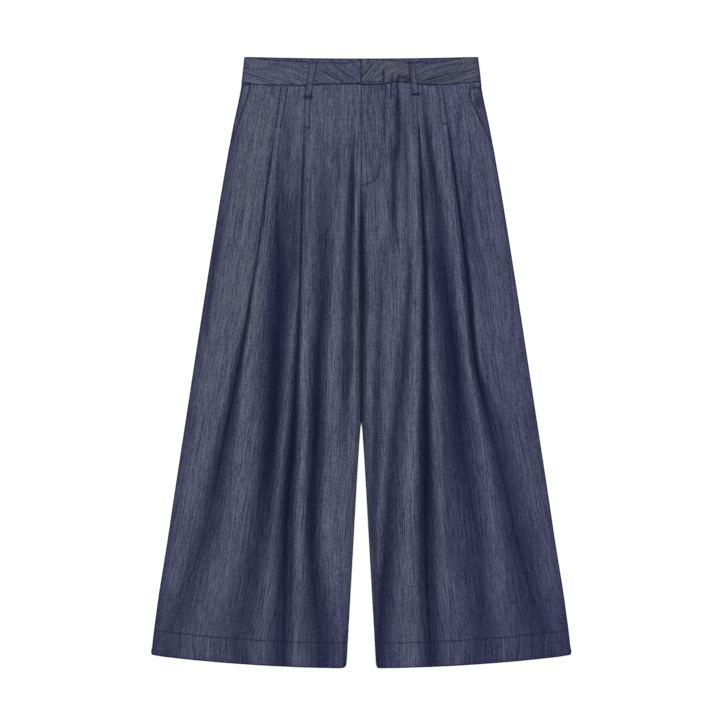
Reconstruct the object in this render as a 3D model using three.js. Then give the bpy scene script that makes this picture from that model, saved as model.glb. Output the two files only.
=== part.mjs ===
// Pleated wide-leg culottes, laid flat on a surface with the front up and the waist towards +Y.
// Millimetres, +Z up. The origin is on the surface, under the middle of the garment's outline.
//
// "drop" is the distance below the waist edge, and "out" is the distance from the centre line.
// Left and right are the wearer's, so the left leg lies on +X.
// A height is that of the middle of a layer of cloth above the surface.
import * as THREE from 'three';

// ---- Driving sizes ---------------------------------------------------------------------------

const LENGTH = 916;
const WAIST_SEAM = 40;
const CROTCH = 330;
const HEM_DEPTH = 38;
const HEM_TOP = LENGTH - HEM_DEPTH;
const HEM_HALF = 315;
// The hem is an arc, this much higher at the side seam, and rows bend to it from here down.
const HEM_RISE = 19.6;
const HEM_BEND_FROM = 700;

// Thicknesses: one layer of cloth, a waistband, and a loop or pocket strip, with a seam's gap.
const CLOTH = 1.2;
const BAND = 2.4;
const STRIP = 1;
const SEAM_GAP = 0.3;

const LOOP_WIDTH = 9.3;
const BACK_LOOP = { out: 112, top: 0.6, end: 58 };
const TUCK_END = 103;
const TUCK_RISE = 1;

// The fastening: the waistband's lap, the flat hook and bar inside it, and the zip under the fly.
const LAP_LENGTH = 36;
const HOOK = { drop: 21, plate: 0.5, bar: [16, 8], hook: [12, 11] };
const ZIP = { width: 26, chain: 6, top: 48, bottom: 190, tape: 0.6, chainAbove: 0.6, play: 0.1 };

// Half of the laid garment's width, along its side seams.
const SIDE_SEAM = [
  { drop: 0, half: 175.2 },
  { drop: 41, half: 179.5 },
  { drop: 109, half: 193.2 },
  { drop: 221, half: 213 },
  { drop: 559, half: 265.6 },
  { drop: 700, half: 287 },
  { drop: 829, half: 304.9 },
  { drop: LENGTH, half: HEM_HALF },
];

// Half of the gap between the legs. They lie against each other down to where they part.
const INSEAM = [
  { drop: CROTCH, half: SEAM_GAP / 2 },
  { drop: 543, half: SEAM_GAP / 2 },
  { drop: 550, half: 0.3 },
  { drop: 555, half: 1.3 },
  { drop: 568, half: 2.2 },
  { drop: 583, half: 3.3 },
  { drop: 626, half: 6 },
  { drop: 761, half: 13.6 },
  { drop: LENGTH, half: 22.4 },
];

// The front's slanted pocket edges, down to the side seam. On the left the edge starts under a
// strip of the front that reaches the side seam.
const POCKET_TOP = { right: 0, left: 46.5 };
const POCKET_END = 132;
const POCKET_EDGE = {
  right: [
    { drop: 30, out: 165 },
    { drop: 48, out: 166.5 },
    { drop: 68, out: 173.5 },
    { drop: 94, out: 181.6 },
    { drop: POCKET_END, out: 196.2 },
  ],
  left: [
    { drop: 30, out: 162 },
    { drop: 59, out: 162.5 },
    { drop: 82, out: 172.9 },
    { drop: POCKET_END, out: 196.2 },
  ],
};

// How far the pocket's facing and bag lie in from the side seam, and where their inner edge is.
const POCKET_BAG = [
  { drop: 41, inset: 0, inner: 122 },
  { drop: 126, inset: 0, inner: 118 },
  { drop: 152, inset: 13, inner: 118 },
  { drop: 236, inset: 18, inner: 124 },
  { drop: 276, inset: 48, inner: 150 },
];

// How high the front's folds stand above the layer under them.
const RELIEF = [
  { drop: 41, height: 1.6 },
  { drop: 110, height: 3 },
  { drop: 180, height: 6.5 },
  { drop: 260, height: 10.5 },
  { drop: 400, height: 14 },
  { drop: 640, height: 14.5 },
  { drop: 800, height: 13 },
  { drop: 878, height: 9 },
  { drop: 916, height: 6 },
];

// The waist seam's own small waves, as drops below the waist edge.
const SEAM_WAVE = {
  right: [
    { out: 0, drop: 40.6 },
    { out: 47, drop: 40.8 },
    { out: 86, drop: 43 },
    { out: 140, drop: 42.4 },
    { out: 181, drop: 40 },
  ],
  left: [
    { out: 0, drop: 42.8 },
    { out: 34, drop: 41 },
    { out: 54, drop: 37.6 },
    { out: 82, drop: 40.4 },
    { out: 114, drop: 42.6 },
    { out: 136, drop: 41 },
    { out: 181, drop: 36.9 },
  ],
};

// Each fold of a front runs down the leg through these drops. At each of them, line is how far out
// its bottom lies, depth how far it sinks, and inward and outward how wide its two flanks are.
const FOLD_DROPS = [41, 130, 220, 330, 450, 580, 710, 880];
const FOLDS = {
  right: [
    {
      name: 'outer_pleat',
      line: [120, 132, 145, 160, 181, 206, 233, 285],
      depth: [0.5, 2, 3, 3.5, 9, 10.5, 8.5, 4],
      inward: [5, 5, 6, 7, 10, 28, 40, 38],
      outward: [5, 6, 8, 8, 10, 20, 30, 28],
    },
    {
      name: 'outer_hollow',
      line: [100, 118, 125, 123, 127, 136, 151, 178],
      depth: [0, 1.5, 6, 9.5, 13, 13.5, 9, 4.5],
      inward: [10, 20, 32, 32, 27, 25, 32, 30],
      outward: [8, 10, 13, 32, 36, 27, 36, 50],
    },
    {
      name: 'inner_pleat',
      line: [83, 85.9, 88.5, 91, 96, 103, 113, 117],
      depth: [0.5, 2, 3, 4, 9.5, 14, 13, 7],
      inward: [5, 8, 13, 11, 9, 16, 21, 20],
      outward: [5, 6, 6, 6, 12, 17, 22, 36],
    },
    {
      name: 'inner_hollow',
      line: [60, 60, 56, 56, 65, 69, 75, 60],
      depth: [0, 0.5, 2.5, 6, 10, 13, 12.5, 7],
      inward: [15, 15, 18, 20, 21, 24, 24, 36],
      outward: [12, 15, 22, 27, 19, 18, 17, 36],
    },
    {
      name: 'fly_side',
      line: [10, 12, 15, 18, 21.5, 26, 30, 30],
      depth: [0, 3, 6, 6.5, 5, 0.6, 0, 0],
      inward: [4, 4.5, 7.5, 10, 13, 13, 13, 13],
      outward: [6, 9, 13, 17, 17, 15, 15, 15],
    },
  ],
  left: [
    {
      name: 'outer_pleat',
      line: [122, 133.2, 145.6, 159, 170, 200, 230, 267],
      depth: [0.5, 3, 6, 8.5, 10, 9, 9, 5],
      inward: [4, 5, 9, 14, 12, 20, 33, 55],
      outward: [4, 6, 7, 8, 8, 38, 40, 35],
    },
    {
      name: 'outer_hollow',
      line: [89, 101, 113.6, 124, 138, 148, 169, 186],
      depth: [0.8, 4.5, 6, 9, 12.5, 12, 8.5, 4],
      inward: [6, 10, 13, 25, 36, 40, 46, 48],
      outward: [6, 8, 14, 20, 22, 34, 28, 28],
    },
    {
      name: 'inner_pleat',
      line: [79, 87.4, 91, 96, 96, 97, 96, 103],
      depth: [0.8, 4, 7.5, 10, 12, 14, 13, 8],
      inward: [5, 8, 10, 11, 14, 20, 22, 25],
      outward: [4, 5, 8, 9, 11, 14, 27, 27],
    },
    {
      name: 'inner_hollow',
      line: [66, 67, 69, 71, 65, 49, 40, 24],
      depth: [0, 0, 0.8, 4, 6, 7, 8, 8],
      inward: [6, 6, 8, 9, 20, 15, 16, 10],
      outward: [6, 6, 8, 9, 13, 26, 29, 34],
    },
    {
      name: 'band_crease',
      line: [55, 56, 49, 48, 48, 48, 48, 48],
      depth: [1.4, 3, 3.5, 0, 0, 0, 0, 0],
      inward: [8, 9, 9, 9, 9, 9, 9, 9],
      outward: [6, 8, 8, 8, 8, 8, 8, 8],
    },
    {
      name: 'fly_side',
      line: [30, 30, 30, 29, 25, 23, 20, 20],
      depth: [0, 0, 0, 1.5, 3.5, 4.5, 1, 0],
      inward: [8, 8, 8, 10, 11, 10, 6, 6],
      outward: [8, 8, 8, 10, 12, 12, 8, 8],
    },
  ],
};

// The folds whose bottoms a front's mesh follows, from the centre outwards.
const LEADING_FOLDS = ['inner_hollow', 'inner_pleat', 'outer_hollow', 'outer_pleat'];

// The pleats' sewn-down tucks: their edges at the waist seam and at the end of the stitching.
const TUCKS = {
  right: [
    { top: { from: 109.2, to: 118.9 }, end: { from: 120.8, to: 127.7 } },
    { top: { from: 76, to: 82.6 }, end: { from: 77.5, to: 85 } },
  ],
  left: [
    { top: { from: 114, to: 120.4 }, end: { from: 120.5, to: 129.6 } },
    { top: { from: 75, to: 83 }, end: { from: 79, to: 86.4 } },
  ],
};

// The front belt loops' middles at the waist edge and at their lower end.
const FRONT_LOOPS = {
  right: { top: 71.6, end: 79.9, endDrop: 61 },
  left: { top: 74.4, end: 81.6, endDrop: 57.5 },
};

// The upper edges of the front waistbands, as drops. They lie below the back one's at the centre.
const FRONT_EDGE = {
  right: [
    { out: 0, drop: 4.6 },
    { out: 6, drop: 5.8 },
    { out: 15, drop: 8.2 },
    { out: 24, drop: 9.8 },
    { out: 43, drop: 9 },
    { out: 78, drop: 7.8 },
    { out: 101, drop: 6.7 },
    { out: 124, drop: 5.6 },
    { out: 147, drop: 3.6 },
    { out: 168, drop: 0.6 },
  ],
  left: [
    { out: 0, drop: 3.8 },
    { out: 13, drop: 4.4 },
    { out: 35, drop: 5.6 },
    { out: 50, drop: 6.9 },
    { out: 75, drop: 8 },
    { out: 104, drop: 9.2 },
    { out: 121, drop: 8.4 },
    { out: 133, drop: 5.6 },
    { out: 145, drop: 3.2 },
    { out: 160, drop: 0.6 },
  ],
};

// The back waistband's upper edge dips this far at its middle, from this far out.
const BACK_DIP = { middle: 2.2, half: 168 };

// How wide a leg's inner edge rolls over, at drops down the leg.
const INNER_ROLL = {
  right: [
    { drop: 200, width: 8 },
    { drop: 520, width: 10 },
    { drop: 880, width: 12 },
  ],
  left: [
    { drop: 200, width: 12 },
    { drop: 520, width: 11 },
    { drop: 880, width: 12 },
  ],
};
const SIDE_ROLL = 26;

// Where the front's centre seam starts to sink between the legs, and where it has sunk.
const CENTRE_SINKS = { from: 184, to: 250 };

// How round a fold's bottom is where it touches the layer under it.
const SOFTNESS = 0.8;

// ---- Heights of the stacked layers -----------------------------------------------------------

const BACK_LAID = CLOTH / 2;
const BACK_BAND = STRIP + SEAM_GAP + BAND / 2;
const FRONT_BAND = BACK_BAND + BAND + SEAM_GAP;
const LAP_RISE = BAND + 3 * SEAM_GAP + 2 * HOOK.plate;

// How far the cloth takes to settle beyond what it lies over, out from it or down from it.
const LAP_EASE = { start: 4, out: 30, down: 50 };
const BAG_EASE = { inward: 14, down: 14, sideFrom: 140, sideOver: 25 };
const HEM_EASE = 22;
const TUCK_EASE = { side: 2, down: 6 };

// The back rises from the surface to the raised waistband between these drops.
const BACK_RISE = { from: 62, to: 110 };

// ---- Curves ----------------------------------------------------------------------------------

const clamp = (t) => Math.min(1, Math.max(0, t));
const ease = (t) => clamp(t) ** 2 * (3 - 2 * clamp(t));
const mix = (a, b, t) => a + (b - a) * t;
const spread = (from, to, count) =>
  Array.from({ length: count }, (_, i) => mix(from, to, i / (count - 1)));
const quarterWave = (t) => Math.sin((Math.PI / 2) * clamp(t));

// The slope of a smooth curve at each of its points, level where the curve turns.
function slopes(xs, ys) {
  const steps = ys.slice(1).map((y, i) => (y - ys[i]) / (xs[i + 1] - xs[i]));
  return ys.map((y, i) => {
    if (i === 0) return steps[0];
    if (i === ys.length - 1) return steps[i - 1];
    const [before, after] = [steps[i - 1], steps[i]];
    return before * after <= 0 ? 0 : (2 * before * after) / (before + after);
  });
}

// A smooth curve through points, with no overshoot, that holds its end values outside them.
function curveThrough(xs, ys) {
  const ms = slopes(xs, ys);
  return (x) => {
    if (x <= xs[0]) return ys[0];
    if (x >= xs[xs.length - 1]) return ys[ys.length - 1];
    const i = xs.findIndex((limit) => x < limit) - 1;
    const span = xs[i + 1] - xs[i];
    const t = (x - xs[i]) / span;
    const swing = (t ** 3 - 2 * t ** 2 + t) * ms[i] + (t ** 3 - t ** 2) * ms[i + 1];
    return mix(ys[i], ys[i + 1], ease(t)) + span * swing;
  };
}

const tableCurve = (table, at, value) =>
  curveThrough(table.map((row) => row[at]), table.map((row) => row[value]));

const sideSeam = tableCurve(SIDE_SEAM, 'drop', 'half');
const inseam = tableCurve(INSEAM, 'drop', 'half');
const pocketEdge = {
  right: tableCurve(POCKET_EDGE.right, 'drop', 'out'),
  left: tableCurve(POCKET_EDGE.left, 'drop', 'out'),
};
const bagInset = tableCurve(POCKET_BAG, 'drop', 'inset');
const bagInner = tableCurve(POCKET_BAG, 'drop', 'inner');
const reliefAt = tableCurve(RELIEF, 'drop', 'height');
const seamWave = {
  right: tableCurve(SEAM_WAVE.right, 'out', 'drop'),
  left: tableCurve(SEAM_WAVE.left, 'out', 'drop'),
};
const innerRoll = {
  right: tableCurve(INNER_ROLL.right, 'drop', 'width'),
  left: tableCurve(INNER_ROLL.left, 'drop', 'width'),
};

const foldCurves = (rows) =>
  rows.map((row) => ({
    name: row.name,
    line: curveThrough(FOLD_DROPS, row.line),
    depth: curveThrough(FOLD_DROPS, row.depth),
    inward: curveThrough(FOLD_DROPS, row.inward),
    outward: curveThrough(FOLD_DROPS, row.outward),
  }));
const folds = { right: foldCurves(FOLDS.right), left: foldCurves(FOLDS.left) };

// ---- The cloth's form ------------------------------------------------------------------------

// How far the hem's arc lifts a point of a leg.
const hemBend = (out, drop) => {
  const nearness = ease((drop - HEM_BEND_FROM) / (HEM_TOP - HEM_BEND_FROM));
  return HEM_RISE * (out / HEM_HALF) ** 2 * nearness;
};

const BAG_START = POCKET_BAG[2];
const BAG_END = POCKET_BAG[POCKET_BAG.length - 1];
const frontOuter = (side, drop) => {
  const slanted = drop > POCKET_TOP[side] && drop < POCKET_END;
  return slanted ? pocketEdge[side](drop) : sideSeam(drop);
};
const backHeight = (drop) => {
  const raised = 1 - ease((drop - BACK_RISE.from) / (BACK_RISE.to - BACK_RISE.from));
  return mix(BACK_LAID, BACK_BAND, raised);
};
const pocketHeight = (drop) => backHeight(drop) + CLOTH / 2 + SEAM_GAP + STRIP / 2;

// 1 where the front lies over the pocket's bag, easing to 0 around it.
function overPocket(out, drop) {
  const inner = ease((out - bagInner(drop)) / BAG_EASE.inward + 1);
  const below = 1 - ease((drop - BAG_END.drop) / BAG_EASE.down);
  const edged = ease((sideSeam(drop) - out) / BAG_START.inset);
  const outer = mix(1, edged, ease((drop - BAG_EASE.sideFrom) / BAG_EASE.sideOver));
  return inner * below * outer;
}

// 1 in the turned-up hem, where both the front and the back have a second layer inside.
const inHem = (drop) => ease((drop - HEM_TOP) / HEM_EASE + 1);

// 1 where the left waistband laps over the right one, easing to 0 beyond it.
const inLap = (out) => 1 - ease((out - LAP_LENGTH - LAP_EASE.start) / LAP_EASE.out);

// The lowest that the middle of the front can lie, on what is under it.
function frontRest(side, out, drop) {
  const fading = 1 - ease((drop - WAIST_SEAM) / LAP_EASE.down);
  const lap = side === 'left' ? LAP_RISE * inLap(out) * fading : 0;
  return (
    backHeight(drop) +
    CLOTH +
    SEAM_GAP +
    (STRIP + SEAM_GAP) * overPocket(out, drop) +
    2 * CLOTH * inHem(drop) +
    lap
  );
}

// A fold's trough across the leg: sharp at its bottom and rounded over at its shoulders.
function trough(fold, out, drop) {
  const away = out - fold.line(drop);
  const width = away < 0 ? fold.inward(drop) : fold.outward(drop);
  const share = clamp(1 - Math.abs(away) / width);
  return fold.depth(drop) * share ** 2;
}

// The sewn-down tucks stand a little above the front.
function tuckRise(side, out, drop) {
  const t = clamp((drop - WAIST_SEAM) / (TUCK_END - WAIST_SEAM));
  const fading = 1 - ease((drop - TUCK_END) / TUCK_EASE.down);
  return TUCKS[side].reduce((rise, tuck) => {
    const from = mix(tuck.top.from, tuck.end.from, t);
    const to = mix(tuck.top.to, tuck.end.to, t);
    const across = ease((out - from) / TUCK_EASE.side + 1) * ease((to - out) / TUCK_EASE.side + 1);
    return rise + TUCK_RISE * across * fading;
  }, 0);
}

// The height of the middle of a front.
function frontHeight(side, out, drop) {
  const fromSide = quarterWave((frontOuter(side, drop) - out) / SIDE_ROLL);
  const sunk = ease((drop - CENTRE_SINKS.from) / (CENTRE_SINKS.to - CENTRE_SINKS.from));
  const fromCentre = quarterWave((out - inseam(drop)) / innerRoll[side](drop));
  const crown = reliefAt(drop) * fromSide * mix(1, fromCentre, sunk);
  const sinking = folds[side].reduce((sum, fold) => sum + trough(fold, out, drop), 0);
  const relief = crown - sinking;
  const softened = (relief + Math.hypot(relief, SOFTNESS)) / 2;
  return frontRest(side, out, drop) + softened + tuckRise(side, out, drop);
}

// ---- Finishes --------------------------------------------------------------------------------

const CHAMBRAY = { color: 0x424459, roughness: 0.9, metalness: 0 };
const CHAMBRAY_INSIDE = { color: 0x3a3c50, roughness: 0.9, metalness: 0 };
const ZIP_TAPE = { color: 0x262838, roughness: 0.8, metalness: 0 };
const NICKEL = { color: 0xa8a9ad, roughness: 0.35, metalness: 1 };

function piece(name, geometry, finish) {
  const mesh = new THREE.Mesh(geometry, new THREE.MeshStandardMaterial(finish));
  mesh.name = name;
  return mesh;
}

// ---- Walls of cloth --------------------------------------------------------------------------

const toX = (side, out) => (side === 'left' ? out : -out);
const toY = (drop) => LENGTH / 2 - drop;

// Unit normals of a grid of points, level along its edges so that neighbours keep their gap.
function gridNormals(grid) {
  const lastRow = grid.length - 1;
  const lastColumn = grid[0].length - 1;
  return grid.map((row, r) =>
    row.map((point, c) => {
      const down = grid[Math.min(r + 1, lastRow)][c].clone().sub(grid[Math.max(r - 1, 0)][c]);
      const across = row[Math.min(c + 1, lastColumn)].clone().sub(row[Math.max(c - 1, 0)]);
      const normal = down.cross(across).normalize();
      if (r === 0 || r === lastRow) normal.y = 0;
      if (c === 0 || c === lastColumn) normal.x = 0;
      return normal.normalize();
    }),
  );
}

// A closed wall around a grid of middle points. Rows run towards -Y and columns towards +X;
// above and below give the cloth on each side of the middle at a row and column.
function clothWall(name, finish, grid, above, below = above) {
  const rows = grid.length;
  const columns = grid[0].length;
  const normals = gridNormals(grid);
  const positions = [];
  for (const [sign, depth] of [[1, above], [-1, below]]) {
    grid.forEach((row, r) =>
      row.forEach((point, c) => {
        const shifted = point.clone().addScaledVector(normals[r][c], sign * depth(r, c));
        positions.push(...shifted.toArray());
      }),
    );
  }
  const top = (r, c) => r * columns + c;
  const bottom = (r, c) => rows * columns + top(r, c);
  const faces = [];
  const quad = (a, b, c, d) => faces.push(a, b, c, a, c, d);
  for (let r = 0; r + 1 < rows; r += 1) {
    for (let c = 0; c + 1 < columns; c += 1) {
      quad(top(r, c), top(r + 1, c), top(r + 1, c + 1), top(r, c + 1));
      quad(bottom(r, c), bottom(r, c + 1), bottom(r + 1, c + 1), bottom(r + 1, c));
    }
    quad(top(r, 0), bottom(r, 0), bottom(r + 1, 0), top(r + 1, 0));
    const c = columns - 1;
    quad(top(r, c), top(r + 1, c), bottom(r + 1, c), bottom(r, c));
  }
  for (let c = 0; c + 1 < columns; c += 1) {
    quad(top(0, c), top(0, c + 1), bottom(0, c + 1), bottom(0, c));
    const r = rows - 1;
    quad(top(r, c), bottom(r, c), bottom(r, c + 1), top(r, c + 1));
  }
  const geometry = new THREE.BufferGeometry();
  geometry.setAttribute('position', new THREE.Float32BufferAttribute(positions, 3));
  geometry.setIndex(faces);
  return piece(name, geometry, finish);
}

// A grid of points for one side of the body, its columns always running towards +X.
function sideGrid(side, drops, columnCount, place) {
  return drops.map((drop) => {
    const row = Array.from({ length: columnCount }, (_, c) => place(drop, c));
    return side === 'left' ? row : row.reverse();
  });
}

// ---- Legs ------------------------------------------------------------------------------------

// The rows of each panel. Two rows close together make a step, at the hem's and the pocket's top.
const FRONT_DROPS = [
  WAIST_SEAM, POCKET_TOP.left - SEAM_GAP, POCKET_TOP.left + SEAM_GAP, 75, TUCK_END, POCKET_END,
  165, 200, 240, 285, ...spread(CROTCH, 550, 6), 583, 617, ...spread(650, 845, 5),
  HEM_TOP - 1, HEM_TOP + 1, 897, LENGTH,
];
const BACK_DROPS = [
  WAIST_SEAM, ...spread(BACK_RISE.from, BACK_RISE.to, 4), 165, 221, CROTCH, 460, 550, 583, 626, 761,
  829, HEM_TOP - 1, HEM_TOP + 1, LENGTH,
];
const BACK_COLUMNS = 7;

// How many strips a front has from its inner edge to the first leading fold, and so on outwards,
// and how much they crowd towards the folds' bottoms.
const STRIPS = [6, 4, 4, 4, 6];
const CROWDING = 0.08;

// How far out each column of a front lies at a drop.
function frontColumns(side, drop) {
  const lines = LEADING_FOLDS.map((name) => folds[side].find((fold) => fold.name === name).line(drop));
  const stops = [inseam(drop), ...lines, frontOuter(side, drop)];
  const outs = STRIPS.flatMap((count, i) =>
    Array.from({ length: count }, (_, k) => {
      const t = k / count - CROWDING * Math.sin((2 * Math.PI * k) / count);
      return mix(stops[i], stops[i + 1], t);
    }),
  );
  return [...outs, frontOuter(side, drop)];
}

// Where the first row of each layer lies, just below the waist seam.
const firstRow = {
  front: (side, out) => seamWave[side](out) + SEAM_GAP / 2,
  pocket: (side, out) => Math.max(WAIST_SEAM, seamWave[side](out)) + SEAM_GAP / 2,
  back: () => WAIST_SEAM + SEAM_GAP / 2,
};

// The y of a point in a leg's row: the first row follows the waist seam and the last the hem.
function rowY(layer, side, drop, out) {
  return toY(drop === WAIST_SEAM ? firstRow[layer](side, out) : drop - hemBend(out, drop));
}

// The cloth's depth inside a leg at each of its rows, double in the hem with the turned-up layer.
const insideLeg = (drops) => (r) => (drops[r] > HEM_TOP ? 1.5 * CLOTH : CLOTH / 2);

function legFront(side) {
  const columnCount = STRIPS.reduce((sum, count) => sum + count, 1);
  const grid = sideGrid(side, FRONT_DROPS, columnCount, (drop, c) => {
    const out = frontColumns(side, drop)[c];
    const height = frontHeight(side, out, drop);
    return new THREE.Vector3(toX(side, out), rowY('front', side, drop, out), height);
  });
  return clothWall(`front_${side}`, CHAMBRAY, grid, () => CLOTH / 2, insideLeg(FRONT_DROPS));
}

function legBack(side) {
  const grid = sideGrid(side, BACK_DROPS, BACK_COLUMNS, (drop, c) => {
    const out = mix(inseam(drop), sideSeam(drop), c / (BACK_COLUMNS - 1));
    return new THREE.Vector3(toX(side, out), rowY('back', side, drop, out), backHeight(drop));
  });
  return clothWall(`back_${side}`, CHAMBRAY, grid, insideLeg(BACK_DROPS), () => CLOTH / 2);
}

// ---- Pockets ---------------------------------------------------------------------------------

const POCKET_DROPS = [
  WAIST_SEAM, ...spread(BACK_RISE.from, BACK_RISE.to, 4), 126, 139, BAG_START.drop, 190, 236, 260,
  BAG_END.drop,
];
const POCKET_COLUMNS = 5;

// The facing that shows in the opening and the bag behind it lie flat as one piece.
function pocket(side) {
  const grid = sideGrid(side, POCKET_DROPS, POCKET_COLUMNS, (drop, c) => {
    const outer = sideSeam(drop) - bagInset(drop);
    const out = mix(bagInner(drop), outer, c / (POCKET_COLUMNS - 1));
    return new THREE.Vector3(toX(side, out), rowY('pocket', side, drop, out), pocketHeight(drop));
  });
  return clothWall(`pocket_${side}`, CHAMBRAY, grid, () => STRIP / 2);
}

// ---- Waistband -------------------------------------------------------------------------------

const BAND_ROWS = 4;
const BACK_BAND_COLUMNS = 8;
const SIDE = sideSeam(SIDE_SEAM[1].drop);

// A front band has the front's own columns, so that their seam keeps its gap along its waves.
const bandColumns = (side) => {
  const columns = frontColumns(side, WAIST_SEAM);
  return [...columns.filter((out) => out < SIDE - 1), SIDE];
};

const frontEdge = {
  right: tableCurve(FRONT_EDGE.right, 'out', 'drop'),
  left: tableCurve(FRONT_EDGE.left, 'out', 'drop'),
};
const backEdge = (out) => BACK_DIP.middle * (1 - clamp(Math.abs(out) / BACK_DIP.half) ** 2);
const bandSide = (out, share) => (out * mix(sideSeam(0), SIDE, share)) / SIDE;

function bandGrid(side, outs, topDrop, seamDrop, height) {
  const shares = Array.from({ length: BAND_ROWS }, (_, r) => r / (BAND_ROWS - 1));
  return sideGrid(side, shares, outs.length, (share, c) => {
    const out = outs[c];
    const drop = mix(topDrop(out), seamDrop(out) - SEAM_GAP / 2, share);
    return new THREE.Vector3(toX(side, bandSide(out, share)), toY(drop), height(out));
  });
}

// The right front band goes on across the centre, under the left one's lap and inside its edges.
function waistbandFrontRight() {
  const tucked = spread(LAP_LENGTH / 3, LAP_LENGTH, 3);
  const hidden = 1;
  const edge = () => frontEdge.right(0) + hidden;
  const seam = (out) => Math.min(seamWave.right(0), seamWave.left(out)) - hidden;
  const level = () => FRONT_BAND;
  const band = bandGrid('right', bandColumns('right'), frontEdge.right, seamWave.right, level);
  const under = bandGrid('left', tucked, edge, seam, level);
  const grid = band.map((row, r) => [...row, ...under[r]]);
  return clothWall('waistband_front_right', CHAMBRAY, grid, () => BAND / 2);
}

function waistbandFrontLeft() {
  const height = (out) => FRONT_BAND + LAP_RISE * inLap(out);
  const grid = bandGrid('left', bandColumns('left'), frontEdge.left, seamWave.left, height);
  return clothWall('waistband_front_left', CHAMBRAY, grid, () => BAND / 2);
}

function waistbandBack() {
  const half = spread(0, SIDE, BACK_BAND_COLUMNS);
  const halves = ['right', 'left'].map((side) =>
    bandGrid(side, half, backEdge, () => WAIST_SEAM, () => BACK_BAND));
  const grid = halves[0].map((row, r) => [...row.slice(0, -1), ...halves[1][r]]);
  return clothWall('waistband_back', CHAMBRAY_INSIDE, grid, () => BAND / 2);
}

// ---- Belt loops ------------------------------------------------------------------------------

const LOOP_ROWS = 9;
const LOOP_BOW = 1.4;
const LOOP_SETTLE = 4;

// A strip across the waistband, from rows of { x, drop, height } along its middle.
function loopStrip(name, rows) {
  const grid = rows.map(({ x, drop, height }) =>
    [-0.5, 0.5].map((share) => new THREE.Vector3(x + share * LOOP_WIDTH, toY(drop), height)));
  return clothWall(name, CHAMBRAY, grid, () => STRIP / 2);
}

// A front loop bows a little off the band, then lies on the front below it.
function frontLoop(side) {
  const loop = FRONT_LOOPS[side];
  const clear = SEAM_GAP + STRIP / 2;
  const onBand = FRONT_BAND + BAND / 2 + clear;
  const across = spread(loop.end - LOOP_WIDTH, loop.end + LOOP_WIDTH, 7);
  const heights = across.map((out) => frontHeight(side, out, loop.endDrop));
  const onFront = Math.max(onBand, Math.max(...heights) + CLOTH / 2 + clear);
  const half = WAIST_SEAM / 2;
  const rows = spread(0, 1, LOOP_ROWS).map((t) => {
    const drop = mix(frontEdge[side](loop.top), loop.endDrop, t);
    const bow = LOOP_BOW * Math.sin(Math.PI * clamp(drop / WAIST_SEAM)) ** 2;
    const height = mix(onBand, onFront, ease((drop - half) / (half - LOOP_SETTLE))) + bow;
    return { x: toX(side, mix(loop.top, loop.end, t)), drop, height };
  });
  return loopStrip(`belt_loop_front_${side}`, rows);
}

// The back loops lie flat on the surface, under the back waistband.
function backLoop(name, x) {
  const drops = spread(BACK_LOOP.top + backEdge(x), BACK_LOOP.end, 3);
  return loopStrip(name, drops.map((drop) => ({ x, drop, height: STRIP / 2 })));
}

// ---- Fastenings ------------------------------------------------------------------------------

// The closed zip hangs behind the fly, its chain thicker than its tapes.
function zip() {
  const edge = 0.6;
  const half = [ZIP.chain / 2, ZIP.chain / 2 + edge, ZIP.width / 2];
  const xs = [...half.map((x) => -x).reverse(), ...half];
  const under = spread(SEAM_GAP / 2, ZIP.width / 2, 4);
  const grid = spread(ZIP.top, ZIP.bottom, 8).map((drop) => {
    const heights = ['left', 'right'].flatMap((side) => under.map((out) => frontHeight(side, out, drop)));
    const height = Math.min(...heights) - CLOTH / 2 - SEAM_GAP - ZIP.chainAbove - ZIP.play;
    return xs.map((x) => new THREE.Vector3(x, toY(drop), height));
  });
  const above = (r, c) => (Math.abs(xs[c]) <= ZIP.chain / 2 ? ZIP.chainAbove : ZIP.tape / 2);
  return clothWall('zip', ZIP_TAPE, grid, above, () => ZIP.tape / 2);
}

// A flat hook on the lap engages a flat bar on the end under it.
function hookPlate(name, size, height) {
  const mesh = piece(name, new THREE.BoxGeometry(...size, HOOK.plate), NICKEL);
  mesh.position.set(LAP_LENGTH / 2, toY(HOOK.drop), height);
  return mesh;
}

function waistFastening() {
  const barHeight = FRONT_BAND + BAND / 2 + SEAM_GAP + HOOK.plate / 2;
  return [
    hookPlate('waist_bar', HOOK.bar, barHeight),
    hookPlate('waist_hook', HOOK.hook, barHeight + HOOK.plate + SEAM_GAP),
  ];
}

// ---- The garment -----------------------------------------------------------------------------

const culottes = new THREE.Group();
for (const side of ['left', 'right']) {
  culottes.add(legFront(side), legBack(side), pocket(side), frontLoop(side));
  culottes.add(backLoop(`belt_loop_back_${side}`, toX(side, BACK_LOOP.out)));
}
culottes.add(
  backLoop('belt_loop_back_centre', 0),
  waistbandFrontRight(),
  waistbandFrontLeft(),
  waistbandBack(),
  zip(),
  ...waistFastening(),
);

export default culottes;
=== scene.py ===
"""The looks of pleated wide-leg culottes in slub chambray, laid flat with the front up.

Lengths are millimetres until a mesh is made. "drop" is the distance below the waist edge and
"out" the distance from the centre line. Left and right are the wearer's, so left is +X.
A height is that of the middle of a layer of cloth above the surface.
"""
import math

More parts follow.
